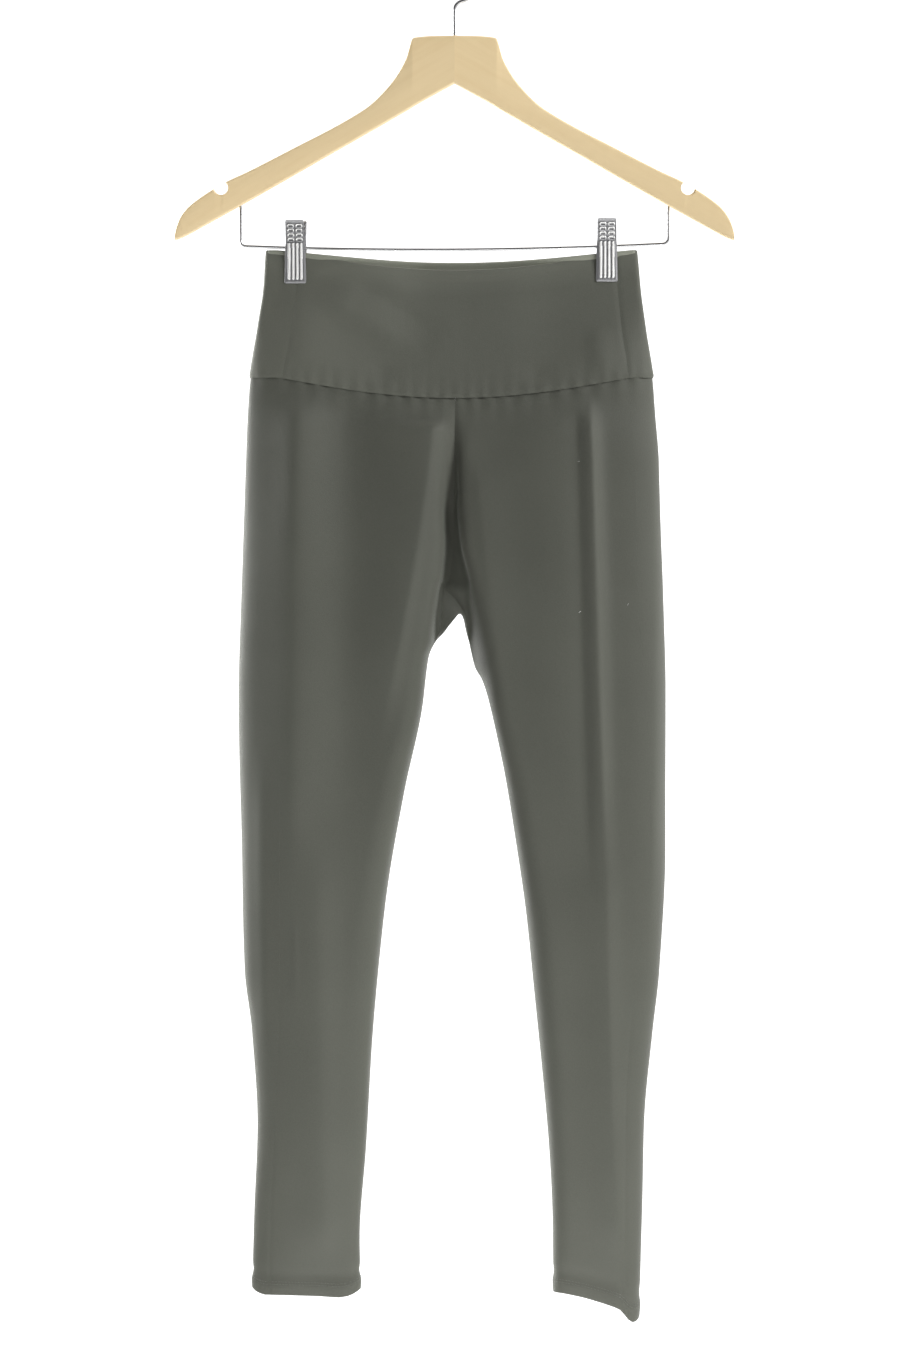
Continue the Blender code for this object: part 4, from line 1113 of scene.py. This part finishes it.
def cloth_material(name, tone, painted_side_light=0.0, edge=0.0):
    """Smooth two-way stretch jersey: a fine knit, a faint heather and a soft sheen. The waistband's
    copy adds painted light: lighter towards the wearer's right, with a painted highlight along its
    top edge.
    """
    colour = times(CLOTH_COLOUR, (tone, tone, tone))
    material, tree, shader = new_material(
        name, colour, Roughness=0.62, Sheen_Weight=0.2, Sheen_Roughness=0.45,
        Sheen_Tint=(0.82, 0.84, 0.78, 1), Specular_IOR_Level=0.32)
    place = add_node(tree, "ShaderNodeUVMap", uv_map="cloth").outputs["UV"]
    parts = add_node(tree, "ShaderNodeSeparateXYZ", {"Vector": place}).outputs
    wale = maths(tree, "SINE", maths(tree, "MULTIPLY", parts["X"], 2 * math.pi / WALE))
    course = maths(tree, "SINE", maths(tree, "MULTIPLY", parts["Y"], 2 * math.pi / COURSE))
    knit = blended(tree, (wale, 0.7), (course, 0.3))
    solid = object_place(tree)
    broad = noise(tree, solid, 11.0, Detail=2.0)
    heather = noise(tree, solid, 1100.0, Detail=3.0)
    # Painted light: the waistband is painted lighter towards the wearer's right side.
    side_light_paint = ranged(tree, parts["X"], PAINTED_LIGHT_TO, PAINTED_LIGHT_FROM, 0.0, painted_side_light, "SMOOTHSTEP")
    # A painted highlight along the waistband's top edge; both kinds of painted light are then added
    # to the tone.
    top_light_paint = ranged(tree, parts["Y"], TOP_LIGHT_FADE, 0.0, 0.0, edge)
    painted_light = maths(tree, "ADD", side_light_paint, top_light_paint)
    shade = maths(tree, "ADD", blended(tree, (broad, 0.45), (heather, 0.55)), painted_light)
    shade = maths(tree, "MULTIPLY", shade, 0.5)
    tones = [(0.15, times(colour, (0.9, 0.9, 0.9))), (0.65, times(colour, (1.4, 1.4, 1.4)))]
    weave = bump(tree, knit, 0.35, 0.00012)
    fuzz = bump(tree, heather, 0.25, 0.0003, Normal=weave)
    finish_material(tree, shader, Base_Color=ramp(tree, shade, tones), Normal=fuzz)
    return material


def thread_material():
    """Sewing thread a shade lighter than the cloth."""
    colour = times(CLOTH_COLOUR, (1.25, 1.25, 1.25))
    material, tree, shader = new_material("sewing_thread", colour, Roughness=0.55, Sheen_Weight=0.4)
    twist = noise(tree, object_place(tree), 4000.0)
    finish_material(tree, shader, Normal=bump(tree, twist, 1.0, 0.0001))
    return material


def lint_material():
    """Pale fluff."""
    material, tree, shader = new_material("lint", (0.7, 0.7, 0.66), Roughness=0.8, Sheen_Weight=0.5)
    fluff = noise(tree, object_place(tree), 3000.0)
    pale = ramp(tree, fluff, [(0.3, (0.55, 0.55, 0.5)), (0.7, (0.8, 0.8, 0.77))])
    finish_material(tree, shader, Base_Color=pale)
    return material


def wood_material(side, tone):
    """Pale close-grained wood under satin varnish, its grain running along the arm."""
    base = times(WOOD_COLOUR, (tone, tone, tone))
    material, tree, shader = new_material(
        f"wood_{side}", base, Roughness=0.38, Coat_Weight=0.25, Coat_Roughness=0.25)
    turned = add_node(tree, "ShaderNodeMapping", {
        "Vector": object_place(tree), "Rotation": (0, -SIDES[side] * ARM_SLOPE, 0)})
    along = turned.outputs["Vector"]
    grain = noise(tree, stretched_place(tree, along, (5, 60, 90)), 2.2, Detail=5.0, Roughness=0.55)
    figure = noise(tree, stretched_place(tree, along, (1.5, 10, 26)), 2.0,
                   Detail=2.0, Distortion=0.6)
    flecks = noise(tree, stretched_place(tree, along, (90, 900, 1400)), 1.0)
    shade = blended(tree, (grain, 0.5), (figure, 0.35), (flecks, 0.15))
    tones = [(0.32, times(base, (0.96, 0.94, 0.90))), (0.5, base),
             (0.68, times(base, (1.03, 1.04, 1.06)))]
    finish_material(tree, shader, Base_Color=ramp(tree, shade, tones),
                    Normal=bump(tree, grain, 0.15, 0.0002))
    return material


def chrome_material(name, colour, low, high, metallic):
    """Plating with the slight haze of handling. On the clips a darker copy in the flats is partly
    painted shade, and a near-white copy on the high spots is a painted highlight.
    """
    material, tree, shader = new_material(name, colour, Metallic=metallic)
    haze = noise(tree, object_place(tree), 160.0, Detail=4.0)
    finish_material(tree, shader, Roughness=ranged(tree, haze, 0.3, 0.7, low, high))
    return material


# ---------------------------------------------------------------- garment


def stitch_line(panel, down):
    """Small stitches in a row across a panel, at one length down it."""
    k = int(np.argmin(np.abs(panel.down[:, 0] - down)))
    points, outward = in_place(panel.points[k]), panel.outward[k]
    along = lengths_along(points)
    stitches = []
    for start in np.arange(STITCH_PITCH / 2, along[-1] - STITCH_PITCH / 2, STITCH_PITCH):
        marks = np.linspace(start, start + STITCH_LENGTH, len(STITCH_RISE))
        normal = points_at(outward, along, [start])[0]
        rise = THREAD * np.array(STITCH_RISE)[:, None]
        centres = points_at(points, along, marks) + normal * rise
        stitches.append(tube(centres, THREAD * np.array(STITCH_RADII), normal))
    return stitches


def lint_fibre(panel, fleck):
    """A short pale fibre lying on the cloth, at its place in the front view."""
    flat = (panel.points[..., 0] - fleck.x)**2 + (panel.points[..., 2] - fleck.z)**2
    k = np.unravel_index(np.argmin(flat), flat.shape)
    centre, normal = panel.points[k], panel.outward[k]
    slant = np.array([math.cos(fleck.turn), 0, math.sin(fleck.turn)])
    lie = slant - normal * np.dot(slant, normal)
    marks = np.linspace(-0.5, 0.5, LINT_POINTS)[:, None]
    bow = (0.25 - marks**2) * LINT_BOW * np.cross(normal, lie)
    centres = centre + (marks * lie + bow) * fleck.length + normal * LINT_RISE
    return tube(in_place(centres), np.full(LINT_POINTS, fleck.radius * MM), normal)


def build_garment():
    """All cloth pieces with their stitching, and the few specks of lint on them."""
    jersey = cloth_material("stretch_jersey", 1.0)
    # The waistband's copy of the jersey carries painted light: a lighter side and a painted
    # highlight along its top edge.
    doubled_with_painted_light = cloth_material("stretch_jersey_doubled_painted_light", BAND_TONE, BAND_PAINTED_SIDE_LIGHT, BAND_PAINTED_TOP_LIGHT)
    inside = cloth_material("stretch_jersey_inside_painted_light", INSIDE_TONE)
    thread = thread_material()
    depth = BAND_TOP - BAND_SEAM
    for face in FACES:
        band = shaped_band(face)
        add_cloth(folded_over(band, True, depth), band.name, doubled_with_painted_light,
                  inner=inside, outer_rows=len(band.points) + 1)
    stitches = []
    legs = {}
    for side in SIDES:
        for face in FACES:
            panel = legs[side, face] = shaped_leg(side, face)
            folded = folded_over(panel, False, HEM_DEPTH)
            add_cloth(folded, panel.name, jersey)
            for above in HEM_STITCHES:
                stitches += stitch_line(panel, panel.down[-1, 0] - above)
    gusset = gusset_panel()
    add_cloth(gusset, "gusset", jersey)
    joined_tubes("hem_stitches", stitches, thread)
    fibres = [lint_fibre(legs[fleck.side, "front"], fleck) for fleck in LINT]
    joined_tubes("lint_fibres", fibres, lint_material())


# ---------------------------------------------------------------- hanger


def arm_y(x):
    """Depth of an arm's middle at a distance from the hanger's middle."""
    return -ARM_SWEEP * (x / ARM_SPAN)**2


def arm_half(x):
    """Half of an arm's thickness at a distance from the middle."""
    return (HEAD_THICKNESS + (TIP_THICKNESS - HEAD_THICKNESS) * x / ARM_SPAN) / 2


def rounded_section(half, top, bottom):
    """Depths and heights round an arm's section, a rectangle with rounded corners."""
    radius = min(EDGE_RADIUS, CORNER_SHARE * half, CORNER_SHARE * (top - bottom))
    points = []
    for corner, (across, up) in enumerate(((-1, 1), (1, 1), (1, -1), (-1, -1))):
        middle_y = across * (half - radius)
        middle_z = (top if up > 0 else bottom) - up * radius
        for step in range(CORNER_STEPS + 1):
            angle = math.pi - (corner + step / CORNER_STEPS) * math.pi / 2
            points.append((middle_y + radius * math.cos(angle),
                           middle_z + radius * math.sin(angle)))
    return points


def notch_cutter(side):
    """A turned cutter whose ends flare, so that the notch's rims come out rounded."""
    half = arm_half(NOTCH_X)
    profile = [(-half - 2, NOTCH_RADIUS + NOTCH_FLARE + 0.2)]
    for t in np.linspace(0, 1, NOTCH_STEPS):
        drop = 1 - math.sqrt(max(0.0, 1 - (1 - t)**2))
        profile.append((-half + NOTCH_FLARE * t, NOTCH_RADIUS + NOTCH_FLARE * drop))
    profile += [(-y, radius) for y, radius in profile[::-1]]
    angles = np.linspace(0, 2 * math.pi, NOTCH_SIDES, endpoint=False)
    outlines = [[((SIDES[side] * NOTCH_X + radius * math.cos(a)) * MM,
                  (arm_y(NOTCH_X) + y) * MM,
                  (NOTCH_Z + radius * math.sin(a)) * MM) for a in angles]
                for y, radius in profile]
    return add_object(f"notch_cutter_{side}", loft(f"notch_cutter_{side}", outlines))


def build_arm(side, material):
    """One wooden arm, finely lofted, with its rounded edges and strap notch."""
    rows = [row._replace(x=-row.x) for row in ARM]
    places = np.concatenate([[0.0]] + [np.arange(*part) for part in ARM_STEPS])
    outlines = []
    for x in places:
        row = at(rows, -x)
        outlines.append([(SIDES[side] * x * MM, (arm_y(x) + y) * MM, z * MM)
                         for y, z in rounded_section(arm_half(x), row.top, row.bottom)])
    mesh = loft(f"arm_{side}", outlines)
    mesh.materials.append(material)
    arm = add_object(f"arm_{side}", mesh)
    cutter = notch_cutter(side)
    cut = arm.modifiers.new("notch", "BOOLEAN")
    cut.operation = "DIFFERENCE"
    cut.object = cutter
    cut.solver = "EXACT"
    graph = bpy.context.evaluated_depsgraph_get()
    applied = bpy.data.meshes.new_from_object(arm.evaluated_get(graph))
    arm.modifiers.clear()
    arm.data = applied
    applied.shade_smooth()
    applied.set_sharp_from_angle(angle=SHARP_ANGLE)
    bpy.data.objects.remove(cutter, do_unlink=True)
    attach(arm, "root")
    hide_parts(f"hanger_arm_{side}")


def add_wire(name, points, radius, material, node):
    """A smooth round wire along points in metres, its last end rounded off."""
    points = [np.array(p) for p in points]
    out = points[-1] - points[-2]
    out /= np.linalg.norm(out)
    cap = [(math.sin(a), math.cos(a)) for a in np.linspace(0, math.pi / 2, CAP_POINTS)[1:]]
    tail = [points[-1] + out * radius * ahead for ahead, _ in cap]
    curve = bpy.data.curves.new(name, "CURVE")
    curve.dimensions = "3D"
    curve.bevel_depth = radius
    curve.bevel_resolution = 5
    curve.use_fill_caps = True
    spline = curve.splines.new("POLY")
    spline.points.add(len(points) + len(tail) - 1)
    for target, point in zip(spline.points, points + tail):
        target.co = (*point, 1)
    for target, (_, share) in zip(spline.points[len(points):], cap):
        target.radius = max(share, CAP_LEAST)
    spline.use_smooth = True
    curve.materials.append(material)
    obj = add_object(name, curve)
    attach(obj, "root")
    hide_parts(node)


def hook_points():
    """The hook's middle line: up the stem, out through the neck and round over the crown."""
    reach = HOOK_RADIUS + HOOK_NECK_RADIUS
    turn = math.acos(HOOK_NECK_RADIUS / reach)
    centre_z = -(HOOK_RADIUS - HOOK_WIRE)
    neck_z = centre_z - reach * math.sin(turn)
    points = [(0, HEAD_TOP - HOOK_STEM_DEPTH), (0, (HEAD_TOP + neck_z) / 2)]
    for a in np.linspace(0, turn, HOOK_POINTS[0])[:-1]:
        points.append((HOOK_NECK_RADIUS * (1 - math.cos(a)),
                       neck_z + HOOK_NECK_RADIUS * math.sin(a)))
    for a in np.linspace(-turn, HOOK_SWEEP, HOOK_POINTS[1]):
        points.append((HOOK_RADIUS * math.cos(a), centre_z + HOOK_RADIUS * math.sin(a)))
    return [(x * MM, 0, z * MM) for x, z in points]


def bar_z(x):
    """Height of the bar, which sags a little between its bends and hangs a little askew."""
    return BAR_MID_Z + (BAR_END_Z - BAR_MID_Z) * (x / BAR_HALF)**2 + BAR_TILT * x / BAR_HALF


def bar_points():
    """The bar's middle line: down from one arm, along, and up into the other."""
    straight = BAR_HALF - BAR_BEND
    halves = []
    for sign in (-1, 1):
        half = [(sign * x, bar_z(sign * x)) for x in np.linspace(0, straight, BAR_POINTS[0])]
        corner_z = bar_z(sign * straight) + BAR_BEND
        for a in np.linspace(0, math.pi / 2, BAR_POINTS[1])[1:]:
            half.append((sign * (straight + BAR_BEND * math.sin(a)),
                         corner_z - BAR_BEND * math.cos(a)))
        half.append((sign * BAR_HALF, BAR_TOP))
        halves.append(half)
    return [(x * MM, BAR_Y * MM, z * MM) for x, z in halves[0][::-1] + halves[1][1:]]


def emboss(x, z, half):
    """Height pressed into a clip plate, in millimetres, and where its painted highlight goes."""
    edge = np.minimum(half - np.abs(x), np.minimum(z - PLATE_END, PLATE_TOP - z))
    lower = smooth(FIELD_TOP - z)
    height = TRAY_HEIGHT * smooth((edge - TRAY_EDGE) / TRAY_SLOPE) * lower
    height += RIM_LIFT * bell(edge - RIM_EDGE, RIM_WIDTH) * (1 - lower)
    scales = np.zeros_like(x)
    painted_highlight = np.zeros(x.shape, dtype=bool)
    for row in SCALE_ROWS:
        for column in (-SCALE_X, SCALE_X):
            dx = np.maximum(np.abs(x - column) - (SCALE_HALF_WIDTH - SCALE_HALF_HEIGHT), 0)
            off = np.hypot(dx, z - row) - SCALE_HALF_HEIGHT
            scales = np.maximum(scales, SCALE_LIFT * bell(off, SCALE_WIDTH))
            painted_highlight |= (np.abs(off) < SCALE_BRIGHT) & (z > row - SCALE_OPEN)
    ribs = np.zeros_like(x)
    for k in range(RIBS):
        middle = (k - (RIBS - 1) / 2) * RIB_PITCH
        off = np.hypot(x - middle, np.maximum(np.maximum(z - RIB_TOP, RIB_END - z), 0))
        ribs = np.maximum(ribs, RIB_LIFT * np.sqrt(np.clip(1 - (off / RIB_HALF_WIDTH)**2, 0, 1)))
        painted_highlight |= off < RIB_BRIGHT
    return height + scales + ribs, painted_highlight


def clip_object(name, points, side, materials, node, thickness, painted_highlight=None):
    """A grid of points in a clip's own frame, thickened inwards and set on the bar."""
    cos, sin = math.cos(CLIP_TURN[side]), math.sin(CLIP_TURN[side])
    x, y, z = (points[..., k] for k in range(3))
    height = bar_z(CLIP_X[side]) + CLIP_LIFT[side]
    placed = [CLIP_X[side] + x * cos - y * sin, BAR_Y + x * sin + y * cos, height + z]
    mesh = grid_mesh(name, np.stack(placed, axis=-1) * MM)
    for material in materials:
        mesh.materials.append(material)
    # Faces under the painted highlight take the near-white copy of the plating.
    if painted_highlight is not None:
        mesh.polygons.foreach_set("material_index", painted_highlight[:-1, :-1].ravel().astype(np.int32))
    obj = add_object(name, mesh)
    add_wall(obj, thickness)
    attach(obj, "root")
    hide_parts(node)


def build_plate(side, face, plating):
    """One embossed plate of a clip, with rounded corners."""
    heights = np.linspace(PLATE_TOP, PLATE_END, PLATE_GRID[0])
    rungs = [at(PLATE_ROWS, z) for z in heights]
    base, halves = np.array([rung.y for rung in rungs]), np.array([rung.half for rung in rungs])
    from_end = np.minimum(PLATE_TOP - heights, heights - PLATE_END)
    into = np.clip(CORNER_ROUND - from_end, 0, CORNER_ROUND)
    rounding = CORNER_ROUND - np.sqrt(CORNER_ROUND**2 - into**2)
    share = np.linspace(-1, 1, PLATE_GRID[1])
    x = share[None, :] * (halves - rounding)[:, None]
    z = np.repeat(heights[:, None], len(share), axis=1)
    lift, painted_highlight = emboss(x, z, halves[:, None])
    y = FACES[face] * (base[:, None] + PLATE + lift)
    points = np.stack([x, y, z], axis=-1)
    clip_object(f"clip_{face}_{side}", points, side, plating, f"clip_plate_{face}_{side}",
                -FACES[face] * PLATE, painted_highlight)


def build_spring(side, material):
    """The clip's spring strip, bent round under the bar, its bends eased."""
    strip = np.array(SPRING_STRIP)
    loop = np.vstack([strip, (strip * [-1, 1])[::-1][1:]])
    along = lengths_along(loop)
    fine = points_at(loop, along, np.linspace(0, along[-1], SPRING_GRID[0]))
    for _ in range(SPRING_EASINGS):
        fine[1:-1] = (fine[:-2] + 2 * fine[1:-1] + fine[2:]) / 4
    x = np.linspace(-SPRING_HALF, SPRING_HALF, SPRING_GRID[1])
    points = np.stack([np.repeat(x[None, :], len(fine), axis=0),
                       np.repeat(fine[:, :1], len(x), axis=1),
                       np.repeat(fine[:, 1:] - CLIP_LIFT[side], len(x), axis=1)], axis=-1)
    clip_object(f"spring_{side}", points, side, [material], f"clip_spring_{side}", SPRING)


def build_hanger():
    """The wooden arms, the hook, the bar and its two clips."""
    # The clips' plating in two copies: a darker one in the flats, partly painted shade, and a
    # near-white one as a painted highlight on the rib crests and the scales' upper arcs.
    plating = [chrome_material("clip_plating", (0.33, 0.33, 0.34), 0.34, 0.44, 0.6),
               chrome_material("clip_plating_painted_highlight", (0.98, 0.98, 0.96), 0.3, 0.4, 0.15)]
    wire = chrome_material("wire_plating", (0.58, 0.58, 0.59), 0.26, 0.36, 1.0)
    spring = chrome_material("spring_strip", (0.45, 0.45, 0.47), 0.28, 0.42, 0.7)
    for side in SIDES:
        build_arm(side, wood_material(side, WOOD_TONE[side]))
    add_wire("hook_wire", hook_points(), HOOK_WIRE * MM, wire, "hanger_hook")
    add_wire("bar_wire", bar_points(), BAR_WIRE * MM, wire, "hanger_bar")
    for side in SIDES:
        for face in FACES:
            build_plate(side, face, plating)
        build_spring(side, spring)


# ---------------------------------------------------------------- stage, lights and camera


def build_stage():
    """A plain pale floor well below the hem."""
    bpy.ops.mesh.primitive_plane_add(size=FLOOR_SIZE, location=(0, 0, FLOOR_Z))
    floor = bpy.context.object
    floor.name = "floor"
    material, _, _ = new_material("pale_floor", (0.86, 0.86, 0.85), Roughness=0.8)
    floor.data.materials.append(material)


def add_softbox(light):
    """A large square lamp that looks at a height on the garment."""
    data = bpy.data.lights.new(light.name, "AREA")
    data.shape = "SQUARE"
    data.size = light.size
    data.energy = light.energy
    lamp = add_object(light.name, data)
    turn, lift = math.radians(light.azimuth), math.radians(light.elevation)
    level = math.cos(lift)
    way = Vector((math.sin(turn) * level, -math.cos(turn) * level, math.sin(lift)))
    lamp.location = Vector((0, BAR_Y * MM, light.height * MM)) + way * light.distance
    lamp.rotation_mode = "QUATERNION"
    lamp.rotation_quaternion = (-way).to_track_quat("-Z", "Y")


def build_lights():
    """White surroundings, dimmer in front, and soft lamps from both sides and below."""
    world = bpy.data.worlds.new("white_surroundings")
    bpy.context.scene.world = world
    world.use_nodes = True
    tree = world.node_tree
    background = tree.nodes["Background"]
    seen = add_node(tree, "ShaderNodeLightPath").outputs["Is Camera Ray"]
    way = add_node(tree, "ShaderNodeTexCoord").outputs["Generated"]
    ahead = add_node(tree, "ShaderNodeSeparateXYZ", {"Vector": way}).outputs["Y"]
    lit = ranged(tree, ahead, FRONT_FROM, FRONT_TO, FRONT_LIGHT, SIDE_LIGHT)
    background.inputs["Color"].default_value = (1, 1, 1, 1)
    tree.links.new(maths(tree, "MAXIMUM", lit, seen), background.inputs["Strength"])
    for light in SOFTBOXES:
        add_softbox(light)
    bpy.context.scene.view_settings.view_transform = "Standard"


def build_camera():
    """A level camera straight in front, with the hook's top above the picture."""
    data = bpy.data.cameras.new("camera")
    data.sensor_fit = "VERTICAL"
    data.sensor_width = SENSOR
    data.sensor_height = SENSOR
    data.lens = SENSOR * VIEW_DISTANCE / VIEW_HEIGHT
    data.clip_end = 50
    camera = add_object("camera", data)
    camera.location = (VIEW_X * MM, (BAR_Y - VIEW_DISTANCE) * MM, VIEW_Z * MM)
    camera.rotation_euler = (math.pi / 2, 0, 0)
    bpy.context.scene.camera = camera


build_camera()
build_garment()
build_hanger()
build_stage()
build_lights()
bpy.context.view_layer.update()
